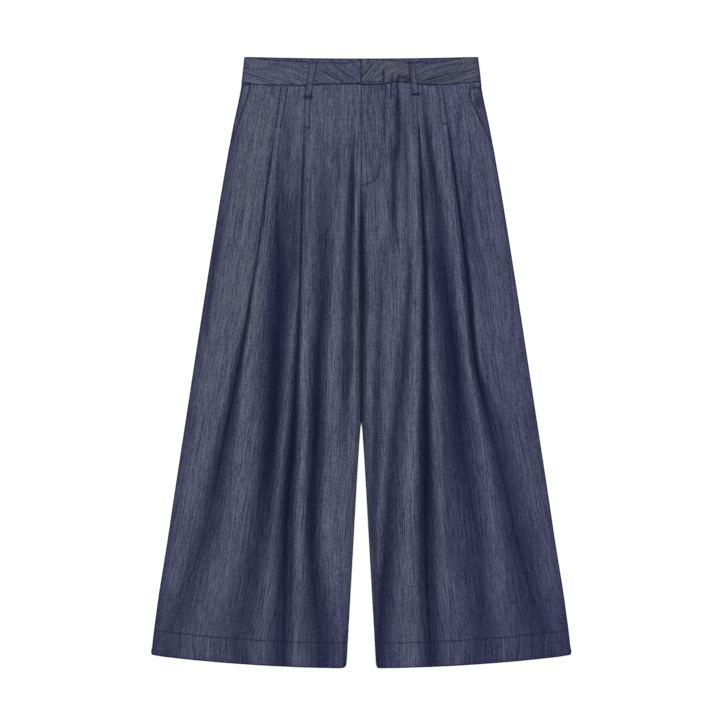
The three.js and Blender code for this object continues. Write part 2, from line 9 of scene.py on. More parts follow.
import bpy
import numpy as np
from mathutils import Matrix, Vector


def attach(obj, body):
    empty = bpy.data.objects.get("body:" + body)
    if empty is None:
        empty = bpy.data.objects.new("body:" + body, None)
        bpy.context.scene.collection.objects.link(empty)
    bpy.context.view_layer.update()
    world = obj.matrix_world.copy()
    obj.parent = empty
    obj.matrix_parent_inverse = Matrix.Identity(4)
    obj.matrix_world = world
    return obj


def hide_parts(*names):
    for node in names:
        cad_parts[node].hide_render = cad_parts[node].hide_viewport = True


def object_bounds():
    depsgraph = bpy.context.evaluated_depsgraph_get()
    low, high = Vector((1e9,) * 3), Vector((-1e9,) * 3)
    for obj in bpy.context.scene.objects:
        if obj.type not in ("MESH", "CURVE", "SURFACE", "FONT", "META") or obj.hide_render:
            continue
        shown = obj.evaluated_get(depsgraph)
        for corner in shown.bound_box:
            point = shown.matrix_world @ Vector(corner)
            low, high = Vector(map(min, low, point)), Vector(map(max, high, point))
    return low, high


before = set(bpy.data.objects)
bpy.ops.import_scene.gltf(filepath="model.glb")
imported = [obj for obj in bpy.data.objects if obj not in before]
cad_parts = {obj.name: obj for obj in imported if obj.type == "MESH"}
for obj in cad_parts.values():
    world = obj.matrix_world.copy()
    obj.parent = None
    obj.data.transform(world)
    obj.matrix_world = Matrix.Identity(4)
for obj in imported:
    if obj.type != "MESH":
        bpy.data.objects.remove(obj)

CAD_LOW, CAD_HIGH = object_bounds()
MM = 0.001
SIDES = ("left", "right")

# ---- Driving sizes ----

TOP = CAD_HIGH.y / MM
HEM_HALF = CAD_HIGH.x / MM
LENGTH = 916
WAIST_SEAM = 40
CROTCH = 330
HEM_DEPTH = 38
HEM_TOP = LENGTH - HEM_DEPTH
# The hem bends up towards the sides by this much, and its corners are slightly rounded.
HEM_RISE = 19.6
HEM_BEND_FROM = 700
CORNER = 5.5
CORNER_EASE = 12

# How thick the legs' cloth, the waistbands, and the loops and pockets are, and the gap at a seam.
CLOTH = 1.2
BAND = 2.4
STRIP = 1
SEAM_GAP = 0.3

LOOP_WIDTH = 9.3
BACK_LOOP = {"out": 112, "top": 0.6, "end": 58}
# The tucks end at this drop, and their bars' shade lies a little off it.
TUCK_END = 103
TUCK_BAR = {"right": 105.8, "left": 100.5}
TUCK_RISE = 1
LAP_LENGTH = 36
HOOK_PLATE = 0.5

SIDE_SEAM = {
    "drop": [0, 41, 109, 221, 559, 700, 829, LENGTH],
    "half": [175.2, 179.5, 193.2, 213, 265.6, 287, 304.9, HEM_HALF],
}
INSEAM = {
    "drop": [CROTCH, 543, 550, 555, 568, 583, 626, 761, LENGTH],
    "half": [0.02, 0.03, 0.3, 1.3, 2.2, 3.3, 6, 13.6, 22.4],
}
POCKET_TOP = {"right": 0, "left": 46.5}
POCKET_END = 132
POCKET_EDGE = {
    "right": {"drop": [30, 48, 68, 94, POCKET_END], "out": [165, 166.5, 173.5, 181.6, 196.2]},
    "left": {"drop": [30, 59, 82, POCKET_END], "out": [162, 162.5, 172.9, 196.2]},
}
POCKET_BAG = {
    "drop": [41, 126, 152, 236, 276],
    "inset": [0, 0, 13, 18, 48],
    "inner": [122, 118, 118, 124, 150],
}
RELIEF = {
    "drop": [41, 110, 180, 260, 400, 640, 800, 878, 916],
    "height": [1.6, 3, 6.5, 10.5, 14, 14.5, 13, 9, 6],
}
SEAM_WAVE = {
    "right": {"out": [0, 47, 86, 140, 181], "drop": [40.6, 40.8, 43, 42.4, 40]},
    "left": {
        "out": [0, 34, 54, 82, 114, 136, 181],
        "drop": [42.8, 41, 37.6, 40.4, 42.6, 41, 36.9],
    },
}

# Each fold of a front runs down the leg through these drops. At each of them, line is how far out
# its bottom lies, depth how far it sinks, inward and outward how wide its two flanks are, and dark
# how much painted shade it has, from 0 to 1.
FOLD_DROPS = [41, 130, 220, 330, 450, 580, 710, 880]
FOLDS = {
    "right": {
        "outer_pleat": {
            "line": [120, 132, 145, 160, 181, 206, 233, 285],
            "depth": [0.5, 2, 3, 3.5, 9, 10.5, 8.5, 4],
            "inward": [5, 5, 6, 7, 10, 28, 40, 38],
            "outward": [5, 6, 8, 8, 10, 20, 30, 28],
            "dark": [0.05, 0.22, 0.26, 0.18, 0.61, 0.65, 0.47, 0.22],
        },
        "outer_hollow": {
            "line": [100, 118, 125, 123, 127, 136, 151, 178],
            "depth": [0, 1.5, 6, 9.5, 13, 13.5, 9, 4.5],
            "inward": [10, 20, 32, 32, 27, 25, 32, 30],
            "outward": [8, 10, 13, 32, 36, 27, 36, 50],
            "dark": [0, 0.25, 0.55, 0.84, 0.9, 0.92, 0.6, 0.4],
        },
        "inner_pleat": {
            "line": [83, 85.9, 88.5, 91, 96, 103, 113, 117],
            "depth": [0.5, 2, 3, 4, 9.5, 14, 13, 7],
            "inward": [5, 8, 13, 11, 9, 16, 21, 20],
            "outward": [5, 6, 6, 6, 12, 17, 22, 36],
            "dark": [0.05, 0.18, 0.45, 0.36, 0.63, 0.92, 0.8, 0.62],
        },
        "inner_hollow": {
            "line": [60, 60, 56, 56, 65, 69, 75, 60],
            "depth": [0, 0.5, 2.5, 6, 10, 13, 12.5, 7],
            "inward": [15, 15, 18, 20, 21, 24, 24, 36],
            "outward": [12, 15, 22, 27, 19, 18, 17, 36],
            "dark": [0, 0.05, 0.42, 0.61, 0.75, 0.9, 0.77, 0.6],
        },
        "fly_side": {
            "line": [10, 12, 15, 18, 21.5, 26, 30, 30],
            "depth": [0, 3, 6, 6.5, 5, 0.6, 0, 0],
            "inward": [4, 4.5, 7.5, 10, 13, 13, 13, 13],
            "outward": [6, 9, 13, 17, 17, 15, 15, 15],
            "dark": [0, 0.18, 0.72, 0.56, 0.5, 0.13, 0, 0],
        },
    },
    "left": {
        "outer_pleat": {
            "line": [122, 133.2, 145.6, 159, 170, 200, 230, 267],
            "depth": [0.5, 3, 6, 8.5, 10, 9, 9, 5],
            "inward": [4, 5, 9, 14, 12, 20, 33, 55],
            "outward": [4, 6, 7, 8, 8, 38, 40, 35],
            "dark": [0, 0.43, 0.65, 0.83, 0.78, 0.54, 0.58, 0.33],
        },
        "outer_hollow": {
            "line": [89, 101, 113.6, 124, 138, 148, 169, 186],
            "depth": [0.8, 4.5, 6, 9, 12.5, 12, 8.5, 4],
            "inward": [6, 10, 13, 25, 36, 40, 46, 48],
            "outward": [6, 8, 14, 20, 22, 34, 28, 28],
            "dark": [0.05, 0.71, 0.42, 0.75, 0.84, 0.66, 0.5, 0.37],
        },
        "inner_pleat": {
            "line": [79, 87.4, 91, 96, 96, 97, 96, 103],
            "depth": [0.8, 4, 7.5, 10, 12, 14, 13, 8],
            "inward": [5, 8, 10, 11, 14, 20, 22, 25],
            "outward": [4, 5, 8, 9, 11, 14, 27, 27],
            "dark": [0, 0.35, 0.76, 0.9, 0.86, 1, 0.85, 0.66],
        },
        "inner_hollow": {
            "line": [66, 67, 69, 71, 65, 49, 40, 24],
            "depth": [0, 0, 0.8, 4, 6, 7, 8, 8],
            "inward": [6, 6, 8, 9, 20, 15, 16, 10],
            "outward": [6, 6, 8, 9, 13, 26, 29, 34],
            "dark": [0, 0.05, 0.06, 0.37, 0.48, 0.47, 0.62, 0.76],
        },
        "band_crease": {
            "line": [55, 56, 49, 48, 48, 48, 48, 48],
            "depth": [1.4, 3, 3.5, 0, 0, 0, 0, 0],
            "inward": [8, 9, 9, 9, 9, 9, 9, 9],
            "outward": [6, 8, 8, 8, 8, 8, 8, 8],
            "dark": [0, 0, 0, 0, 0, 0, 0, 0],
        },
        "fly_side": {
            "line": [30, 30, 30, 29, 25, 23, 20, 20],
            "depth": [0, 0, 0, 1.5, 3.5, 4.5, 1, 0],
            "inward": [8, 8, 8, 10, 11, 10, 6, 6],
            "outward": [8, 8, 8, 10, 12, 12, 8, 8],
            "dark": [0, 0, 0, 0.18, 0.36, 0.45, 0.42, 0.1],
        },
    },
}

# The pleats' tucks: how far out their two edges are at the waist seam and at their lower end, and
# how dark the painted shade along the edges and the bar across the end is.
TUCKS = {
    "right": [
        {"top": (109.2, 118.9), "end": (120.8, 127.7), "dark": (0.5, 0.55), "bar": 0.5},
        {"top": (76, 82.6), "end": (77.5, 85), "dark": (0.4, 0.22), "bar": 0.5},
    ],
    "left": [
        {"top": (114, 120.4), "end": (120.5, 129.6), "dark": (0.45, 0.2), "bar": 0.7},
        {"top": (75, 83), "end": (79, 86.4), "dark": (0.15, 0.12), "bar": 0.1},
    ],
}
FRONT_LOOPS = {
    "right": {"top": 71.6, "end": 79.9, "end_drop": 61},
    "left": {"top": 74.4, "end": 81.6, "end_drop": 57.5},
}
# How far down the upper edges of the waistbands lie: the back one shows above the front ones.
FRONT_EDGE = {
    "right": {
        "out": [0, 6, 15, 24, 43, 78, 101, 124, 147, 168],
        "drop": [4.6, 5.8, 8.2, 9.8, 9, 7.8, 6.7, 5.6, 3.6, 0.6],
    },
    "left": {
        "out": [0, 13, 35, 50, 75, 104, 121, 133, 145, 160],
        "drop": [3.8, 4.4, 5.6, 6.9, 8, 9.2, 8.4, 5.6, 3.2, 0.6],
    },
}
BACK_DIP = {"middle": 2.2, "half": 168}
# How wide the fronts' edges roll over, at the centre, from the drop where it sinks, and at the side.
INNER_ROLL = {
    "right": {"drop": [200, 520, 880], "width": [8, 10, 12]},
    "left": {"drop": [200, 520, 880], "width": [12, 11, 12]},
}
SIDE_ROLL = 26
CENTRE_SINKS = {"from": 184, "over": 66}
# How softly a front settles on what is under it.
SOFTNESS = 0.8

# ---- Heights of the stacked layers ----

# The middles of the layers, and over what lengths they ease from one height to the next.
BACK_LAID = CLOTH / 2
BACK_BAND = STRIP + SEAM_GAP + BAND / 2
FRONT_BAND = BACK_BAND + BAND + SEAM_GAP
LAP_RISE = BAND + 3 * SEAM_GAP + 2 * HOOK_PLATE
BACK_RISE = {"from": 62, "over": 48}
LAP_EASE = {"start": 4, "out": 30, "down": 50}
BAG_EASE = {"inward": 14, "down": 14, "side_from": 140, "side_over": 25, "side_inset": 13}
HEM_EASE = 22
TUCK_EASE = {"side": 2, "down": 6}
FOLD_FALL = {"share": 0.17, "from": 850, "over": 60}
CREASE_FADE = 0.3
# Seeds of the small unevenness of the pieces and their seams.
SEEDS = {
    "front": {"left": 11, "right": 23},
    "band": {"left": 61, "right": 67},
    "loop": {"left": 3, "right": 7},
    "back_loops": 21,
    "facing": 41,
    "front_seam": 71,
    "band_seam": 73,
    "lap_end": 75,
    "back_seam": 77,
}
# Where the threads of each kind of piece start, so that no two show the same streaks.
GRAIN_FROM = {"panel": 260, "zip": 400, "back": 900, "pocket": 1300, "loop": 2000, "band": 3000}

# ---- Curves ----


def clamp(t):
    return np.clip(t, 0.0, 1.0)


def ease(t):
    t = clamp(t)
    return t * t * (3 - 2 * t)


def rising(x, start, over):
    """0 up to start, easing to 1 over the stretch after it."""
    return ease((x - start) / over)


def falling(x, start, over):
    """1 up to start, easing to 0 over the stretch after it."""
    return 1 - rising(x, start, over)


def mix(a, b, t):
    return a + (b - a) * t


def near(distance, width):
    """1 on a line, easing to 0 beyond this width."""
    return np.exp(-((distance / width) ** 2))


def quarter_wave(t):
    return np.sin(math.pi / 2 * clamp(t))


def curve_through(xs, ys):
    """A smooth curve through points, with no overshoot, that holds its end values outside them."""
    xs, ys = np.array(xs, float), np.array(ys, float)
    steps = np.diff(ys) / np.diff(xs)
    before, after = steps[:-1], steps[1:]
    level = before * after <= 0
    inner = np.where(level, 0, 2 * before * after / np.where(level, 1, before + after))
    slopes = np.concatenate([steps[:1], inner, steps[-1:]])

    def curve(x):
        x = np.clip(x, xs[0], xs[-1])
        i = np.clip(np.searchsorted(xs, x, side="right") - 1, 0, len(xs) - 2)
        span = xs[i + 1] - xs[i]
        t = (x - xs[i]) / span
        swing = (t**3 - 2 * t**2 + t) * slopes[i] + (t**3 - t**2) * slopes[i + 1]
        return mix(ys[i], ys[i + 1], ease(t)) + span * swing

    return curve


def side_curves(tables, along, across):
    """For each side, a smooth curve through two columns of its table."""
    return {side: curve_through(table[along], table[across]) for side, table in tables.items()}


def fold_curves(fold):
    return {column: curve_through(FOLD_DROPS, values) for column, values in fold.items()}


side_seam = curve_through(SIDE_SEAM["drop"], SIDE_SEAM["half"])
inseam = curve_through(INSEAM["drop"], INSEAM["half"])
pocket_edge = side_curves(POCKET_EDGE, "drop", "out")
front_edge = side_curves(FRONT_EDGE, "out", "drop")
bag_inset = curve_through(POCKET_BAG["drop"], POCKET_BAG["inset"])
bag_inner = curve_through(POCKET_BAG["drop"], POCKET_BAG["inner"])
relief_at = curve_through(RELIEF["drop"], RELIEF["height"])
seam_wave = side_curves(SEAM_WAVE, "out", "drop")
inner_roll = side_curves(INNER_ROLL, "drop", "width")
folds = {side: {name: fold_curves(fold) for name, fold in table.items()} for side, table in FOLDS.items()}

# ---- The cloth's form ----


def hem_bend(out, drop):
    """How far the hem's arc lifts a point of a leg."""
    return HEM_RISE * (out / HEM_HALF) ** 2 * rising(drop, HEM_BEND_FROM, HEM_TOP - HEM_BEND_FROM)


def corner_cut(out, drop):
    """How far a leg's slightly rounded lower corners lift its hem."""
    cut = np.maximum(1 - (out - inseam(drop)) / CORNER, 1 - 4 * (side_seam(drop) - out) / CORNER)
    return CORNER * (1 - np.sqrt(1 - clamp(cut) ** 2)) * ease((drop - LENGTH) / CORNER_EASE + 1)


def front_outer(side, drop):
    slanted = (drop > POCKET_TOP[side]) & (drop < POCKET_END)
    return np.where(slanted, pocket_edge[side](drop), side_seam(drop))


def back_height(drop):
    return mix(BACK_LAID, BACK_BAND, falling(drop, BACK_RISE["from"], BACK_RISE["over"]))


def pocket_height(drop):
    return back_height(drop) + CLOTH / 2 + SEAM_GAP + STRIP / 2


def over_pocket(out, drop):
    """1 where the front lies over the pocket's bag, easing to 0 around it."""
    inner = ease((out - bag_inner(drop)) / BAG_EASE["inward"] + 1)
    below = falling(drop, POCKET_BAG["drop"][-1], BAG_EASE["down"])
    edged = ease((side_seam(drop) - out) / BAG_EASE["side_inset"])
    outer = mix(1, edged, rising(drop, BAG_EASE["side_from"], BAG_EASE["side_over"]))
    return inner * below * outer


def in_hem(drop):
    """1 in the turned-up hem, where each layer has a second one inside."""
    return ease((drop - HEM_TOP) / HEM_EASE + 1)


def in_lap(out):
    """1 where the left waistband laps over the right one, easing to 0 beyond it."""
    return falling(out - LAP_LENGTH, LAP_EASE["start"], LAP_EASE["out"])


def front_rest(side, out, drop):
    """The lowest that the middle of the front can lie, on what is under it."""
    fading = falling(drop, WAIST_SEAM, LAP_EASE["down"])
    lap = LAP_RISE * in_lap(out) * fading if side == "left" else 0
    layers = (STRIP + SEAM_GAP) * over_pocket(out, drop) + 2 * CLOTH * in_hem(drop)
    return back_height(drop) + CLOTH + SEAM_GAP + layers + lap


def fold_reach(fold, out, drop):
    """How far out of a fold's bottom each point lies, and how wide the flank there is."""
    away = out - fold["line"](drop)
    return away, np.where(away < 0, fold["inward"](drop), fold["outward"](drop))


def trough(fold, out, drop):
    """A fold across the leg: sharp at its bottom and rounded over at its shoulders."""
    away, width = fold_reach(fold, out, drop)
    return fold["depth"](drop) * clamp(1 - np.abs(away) / width) ** 2


def troughs(side, out, drop):
    return sum(trough(fold, out, drop) for fold in folds[side].values())


def tuck_edges(tuck, drop):
    t = clamp((drop - WAIST_SEAM) / (TUCK_END - WAIST_SEAM))
    return mix(tuck["top"][0], tuck["end"][0], t), mix(tuck["top"][1], tuck["end"][1], t)


def tuck_rise(side, out, drop):
    """The sewn-down tucks stand a little above the front."""
    fading = falling(drop, TUCK_END, TUCK_EASE["down"])
    rise = 0
    for tuck in TUCKS[side]:
        start, stop = tuck_edges(tuck, drop)
        sides = ease((out - start) / TUCK_EASE["side"] + 1) * ease((stop - out) / TUCK_EASE["side"] + 1)
        rise = rise + TUCK_RISE * sides * fading
    return rise


def fold_fall(side, out, drop):
    """How much lower the hem hangs at the folds' bottoms."""
    return FOLD_FALL["share"] * troughs(side, out, drop) * rising(drop, FOLD_FALL["from"], FOLD_FALL["over"])


def front_relief(side, out, drop):
    """How high the front stands above what is under it, before it softly settles there."""
    from_side = quarter_wave((front_outer(side, drop) - out) / SIDE_ROLL)
    sunk = rising(drop, CENTRE_SINKS["from"], CENTRE_SINKS["over"])
    from_centre = quarter_wave((out - inseam(drop)) / inner_roll[side](drop))
    crown = relief_at(drop) * from_side * mix(1, from_centre, sunk)
    return crown - troughs(side, out, drop)


def front_height(side, out, drop):
    relief = front_relief(side, out, drop)
    softened = (relief + np.hypot(relief, SOFTNESS)) / 2
    return front_rest(side, out, drop) + softened + tuck_rise(side, out, drop)


# ---- Smaller creases ----

# Each row is how deep a crease is, how wide it is to each side, how much painted shade it has, and
# the points, each how far out and the drop, of its path. It fades at both ends.
FRONT_CREASES = {
    "left": [
        (0.5, 1.6, 0.4, (12.6, 34), (14.4, 52), (12.4, 76)),
        (0.7, 1.2, 0.6, (20.2, 32), (19.4, 60)),
        (0.6, 1.1, 0.6, (25.2, 30), (26, 58), (28, 78)),
        (0.8, 1, 0.8, (31, 28), (31, 54)),
        (0.8, 1.2, 0.8, (36.6, 30), (36.6, 50), (35.6, 68)),
        (0.7, 2, 0.45, (34.6, 52), (34, 80), (34.4, 108), (35, 140)),
        (0.7, 1.2, 0.75, (45.2, 28), (44.6, 48), (43.2, 72)),
        (0.4, 3, 0.28, (44, 108), (46, 140), (46, 158)),
        (0.7, 1.6, 0.52, (54.4, 12), (54.2, 50), (54.2, 88)),
        (0.8, 4.6, 0.66, (53, 20), (53.6, 66), (54, 90), (54.4, 112), (54.8, 127), (52.4, 142), (50.2, 154),
         (48.5, 168), (48.2, 190), (48.6, 220), (50, 300)),
        (0.9, 3.2, 0.26, (66, 54), (66, 120), (67, 180), (69, 270)),
        (0.4, 2.2, 0.22, (10.6, 66), (10.4, 134)),
        (0.4, 0.9, 0.4, (13, 138), (12.5, 164)),
        (0.3, 0.9, 0.4, (30.4, 136), (30.4, 150)),
        (0.4, 1, 0.35, (66, 136), (66.5, 164)),
        (0.7, 4, 0.16, (22, 150), (23, 250)),
        (0.5, 3.2, 0.24, (92.6, 132), (94, 160), (95.4, 190), (98, 240)),
        (0.4, 2.2, 0.34, (57.4, 48), (58.6, 84), (59.4, 124)),
        (0.3, 1.8, 0.2, (75.2, 62), (74.4, 94), (76, 124)),
        (0.3, 2, 0.24, (99.6, 50), (100, 86)),
        (0.4, 1.7, 0.36, (105.2, 94), (106, 130)),
        (0.4, 2.2, 0.4, (165.2, 36), (166, 64)),
        (0.8, 3.4, 0.32, (150, 46), (148.5, 81), (145.6, 98), (144, 120), (146, 140), (147, 160),
         (155, 230)),
        (0.5, 2.6, 0.28, (158.5, 90), (160, 122), (163.6, 138), (165.4, 152), (161.5, 172), (165, 240)),
        (1, 9, 0.3, (156, 130), (163, 220), (168, 275), (177, 330), (186, 420)),
        (1, 9, 0.38, (100, 130), (104, 220), (109, 275), (114, 380)),
        (0.7, 4.5, 0.2, (180, 112), (181.6, 140), (185, 180), (192, 260)),
        (0.3, 2.2, 0.4, (4, 186), (4, 230), (5, 290)),
        (0.4, 2.4, 0.26, (20, 200), (20.5, 284)),
        (0.4, 2.6, 0.32, (16.5, 530), (16, 600), (16, 690), (17, 770)),
        (0.4, 3, 0.2, (60, 530), (60, 630)),
        (0.4, 3, 0.2, (112, 530), (113, 600), (117, 670)),
        (0.4, 3.5, 0.24, (122, 195), (122, 280)),
        (0.4, 2.4, 0.26, (135, 140), (136, 212)),
        (0.5, 5, 0.22, (156, 195), (156.5, 285)),
        (0.4, 5, 0.22, (135, 256), (139, 376)),
        (0.4, 2.6, 0.18, (83, 380), (83.5, 440), (84, 520)),
        (0.3, 2, 0.24, (11, 120), (11.4, 170)),
        (0.3, 3, 0.22, (38, 258), (36.4, 326)),
        (0.3, 2, 0.34, (32, 328), (32, 394)),
        (0.3, 2, 0.26, (101, 256), (101.6, 326)),
        (0.3, 2, 0.24, (8, 326), (8, 394)),
        (0.4, 3, 0.2, (76.6, 630), (75.6, 720), (76, 800), (77, 896)),
        (0.3, 2.2, 0.24, (26, 764), (25.6, 834)),
        (0.4, 4, 0.2, (176.6, 750), (178.5, 820), (180.4, 896)),
        (0.8, 4, 0.1, (30, 270), (50, 360)),
        (0.7, 1.6, 0.4, (7, 196), (8, 240)),
        (1.2, 8, 0.14, (140, 700), (139, 800)),
        (1, 6, 0.16, (112, 380), (120, 470)),
        (0.6, 5, 0.12, (214, 300), (216, 360)),
        (1, 9, 0.24, (127, 520), (129, 600), (131, 700), (132, 800)),
        (0.5, 7, 0.13, (44, 190), (48, 260), (50, 340)),
    ],
    "right": [
        (0.6, 1.8, 0.45, (9.6, 96), (11.4, 140), (12.4, 160), (13.4, 190)),
        (0.7, 2.8, 0.3, (108.4, 96), (108.6, 166)),
        (0.4, 1.8, 0.36, (11.4, 146), (11.4, 190), (11.8, 276)),
        (0.4, 3.2, 0.24, (44.5, 146), (45, 200), (46, 280)),
        (0.4, 4, 0.24, (34, 196), (34, 280)),
        (0.4, 5, 0.18, (96, 190), (97.5, 290)),
        (0.4, 2.2, 0.28, (144, 195), (144.4, 285)),
        (0.4, 4, 0.2, (46, 530), (46.5, 600), (46.5, 690)),
        (0.5, 8, 0.16, (158, 450), (160, 510), (167, 590), (169, 680)),
        (0.4, 3.4, 0.36, (101, 640), (102.6, 700), (103.4, 800), (106, 900)),
        (0.3, 1.8, 0.34, (74, 118), (74.6, 170), (77, 220), (79.6, 310)),
        (0.3, 2.8, 0.22, (34.6, 112), (32.6, 196)),
        (0.3, 4, 0.16, (95.4, 146), (96.4, 226)),
        (0.3, 1.4, 0.34, (2.4, 258), (2.6, 326)),
        (0.3, 3, 0.26, (42.6, 258), (42, 326)),
        (0.4, 5, 0.22, (99, 258), (101, 330), (102, 400)),
        (0.3, 2, 0.26, (31.6, 326), (31.6, 396)),
        (0.3, 2.4, 0.24, (178.6, 424), (179.4, 496)),
        (0.3, 4, 0.22, (13.6, 424), (14.6, 496)),
        (0.3, 3, 0.22, (41.6, 500), (43.6, 580)),
        (0.5, 2.5, 0.16, (52, 94), (51, 150)),
        (0.3, 1, 0.3, (33, 118), (33, 134)),
        (0.4, 1.6, 0.22, (21, 32), (20.6, 64)),
        (0.5, 4, 0.24, (133, 30), (133, 66)),
        (0.7, 3.2, 0.24, (36, 92), (40.4, 118), (39, 145), (36, 230)),
        (1.2, 8, 0.34, (204, 210), (222, 330), (243, 450)),
        (1, 9, 0.4, (106, 190), (100, 275), (98, 350)),
        (0.6, 5, 0.1, (76, 200), (70, 290)),
        (0.5, 8, 0.15, (96, 120), (94, 180), (92, 250)),
        (0.8, 7, 0.26, (18, 400), (22, 460), (27, 540), (30, 620)),
        (0.8, 9, 0.15, (90, 750), (88, 915)),
        (1, 6, 0.06, (150, 430), (158, 520)),
        (0.8, 7, 0.12, (222, 680), (222, 730)),
        (0.7, 5, 0.1, (33, 640), (42, 700)),
        (0.3, 26, 0.08, (186, 620), (204, 730), (222, 890)),
    ],
}
BAND_CREASES = {
    "left": [
        (0.7, 1.2, 0.9, (22, 5), (17.5, 9), (10, 20), (-2, 36)),
        (0.4, 1.2, 0.5, (13, 3), (8, 14)),
        (0.9, 1.9, 0.85, (33, 14), (33.4, 30), (34, 50)),
        (0.7, 1.3, 0.5, (42, 30), (41, 44)),
        (0.5, 1.6, 0.8, (46.4, 23), (45.6, 50)),
        (0.4, 1, 0.45, (52, 28), (52.4, 48)),
        (0.5, 1.5, 0.85, (56, 22), (54.6, 50)),
        (0.8, 3.4, 0.52, (54, 29), (66, 32), (80, 37)),
        (0.5, 1.6, 0.34, (84, 38), (100, 33), (140, 25), (172, 17)),
        (0.3, 5, 0.24, (58, 36), (80, 36), (120, 37), (143, 32.5), (168, 26)),
        (0.4, 1.8, 0.24, (95, 22), (125, 14), (160, 9)),
        (0.3, 1.2, 0.24, (100, 27), (128, 22), (156, 13)),
    ],
    "right": [
        (0.4, 1.4, 0.26, (5, 34), (22, 27), (40, 17)),
        (0.5, 1.4, 0.45, (22, 38), (40, 32), (62, 19)),
        (0.3, 1.1, 0.3, (30, 31), (44, 23), (58, 12)),
        (0.4, 1.4, 0.2, (84, 38), (100, 33), (124, 28)),
        (0.3, 4, 0.2, (104, 16), (124, 15.6), (150, 10)),
        (0.3, 1.3, 0.12, (104, 27), (134, 21), (168, 16)),
    ],
}
# The curved line that holds the fly's facing, from the waistband down to the centre seam.
FLY_LINE = [
    (25.4, 42), (26.6, 60), (29.8, 88), (30.5, 148), (29.3, 164), (25.5, 173), (23, 181), (18, 187.5),
    (9, 190.8), (0.5, 193.5),
]
# The painted shade along its stitching is faint down to this point of the line, and dark from there.
FLY_DARK_FROM = 4
# Painted shade along sewn lines on the fronts: how dark each is, how wide to each side, and the
# points of its path.
SEWN = {
    "right": [
        (0.85, 1.1, (74, 62.7), (84.5, 62.8)),
        (0.4, 0.7, (72, 59.4), (90, 60)),
    ],
    "left": [
        (0.85, 1.1, (75.6, 57.3), (87.6, 57.3)),
        (0.7, 0.8, (87.5, 54.8), (92, 54)),
        (0.5, 1.5, (162.5, 48), (162.5, 58), (172.5, 82), (181, 99)),
        (0.4, 0.8, (167.5, 58), (173, 73), (176.5, 82)),
        (0.1, 0.8, *FLY_LINE[: FLY_DARK_FROM + 1]),
        (0.8, 0.9, *FLY_LINE[FLY_DARK_FROM:]),
    ],
}
for side, tucks in TUCKS.items():
    for tuck in tucks:
        for top, end, dark in zip(tuck["top"], tuck["end"], tuck["dark"]):
            SEWN[side].append((dark, 0.8, (top, WAIST_SEAM), (end, TUCK_BAR[side] - 1)))
        SEWN[side].append((tuck["bar"], 0.9, *[(end, TUCK_BAR[side]) for end in tuck["end"]]))
# Painted shadows beside the sides of the front loops, on the cloth below the waistband: how far out
# and how dark on each side.
LOOP_SHADOW = {"reach": 5.2, "right": 0.5, "left": 0.34}
for side, loop in FRONT_LOOPS.items():
    for reach in (-LOOP_SHADOW["reach"], LOOP_SHADOW["reach"]):
        upper, lower = (loop["end"] - 1.5 + reach, WAIST_SEAM), (loop["end"] + reach, loop["end_drop"] + 1)
        SEWN[side].append((LOOP_SHADOW[side], 1, upper, lower))


def path_distance(path, out, drop):
    """The distance of each point from a path, and how far along it, from 0 to 1, it is nearest."""
    path = np.array(path, float)
    lengths = np.hypot(*np.diff(path, axis=0).T)
    starts = np.concatenate([[0], np.cumsum(lengths)])
    best, along = np.full(np.shape(out), np.inf), np.zeros(np.shape(out))
    for k, length in enumerate(lengths):
        (out_a, drop_a), (out_b, drop_b) = path[k], path[k + 1]
        share = (out - out_a) * (out_b - out_a) + (drop - drop_a) * (drop_b - drop_a)
        t = clamp(share / length**2)
        away = np.hypot(out - mix(out_a, out_b, t), drop - mix(drop_a, drop_b, t))
        nearer = away < best
        best = np.where(nearer, away, best)
        along = np.where(nearer, (starts[k] + t * length) / starts[-1], along)
    return best, along


def creased(creases, out, drop, darkness=False):
    """How far a surface sinks at its smaller creases, or how much painted shade it has there."""
    total = 0
    for depth, half, dark, *path in creases:
        away, along = path_distance(path, out, drop)
        fading = ease(along / CREASE_FADE) * ease((1 - along) / CREASE_FADE)
        total = total + (dark if darkness else depth) * fading * near(away, half)
    return total


# Painted shade along one sewn line.
def sewn_shade(line, out, drop):
    dark, half, *path = line
    return dark * near(path_distance(path, out, drop)[0], half)


def ripple(u, v, seed):
    """Smooth unevenness between -1 and 1, in cells of size 1."""
    size = 64
    lattice = np.random.default_rng(seed).uniform(-1, 1, (size, size))
    i, j = np.floor(u).astype(int), np.floor(v).astype(int)
    s, t = ease(u - i), ease(v - j)

    def corner(a, b):
        return lattice[(i + a) % size, (j + b) % size]

    return mix(mix(corner(0, 0), corner(1, 0), s), mix(corner(0, 1), corner(1, 1), s), t)


def front_surface(side, out, drop):
    """The height of the middle of a front with its smaller creases and puckered hem."""
    seed = SEEDS["front"][side]
    free = rising(drop, WAIST_SEAM, 60) * ease((front_outer(side, drop) - out) / 12)
    lengthwise = 0.32 * ripple(out / 13, drop / 150, seed) + 0.12 * ripple(out / 5, drop / 60, seed + 1)
    pucker = 0.25 * ripple(out / 7, drop / 30, seed + 5) * near(drop - HEM_TOP, 14)
    uneven = front_height(side, out, drop) + lengthwise * free + pucker
    return uneven - 0.45 * near(drop - HEM_TOP, 1.6) - creased(FRONT_CREASES[side], out, drop)


# ---- Painted shade ----

# Painted shade darkens the cloth's colour in folds, at edges and at sewn lines, and a painted
# highlight lightens it along the folds' upper edges.
RIDGE_HIGHLIGHT = 0.22
# How dark the painted shade on the pleats' pressed creases is below the tucks, and over what drop it starts.
CREASE_SHADE = {"right": 0.62, "left": 0.9}
CREASE_SHADE_START = {"right": 40, "left": 8}
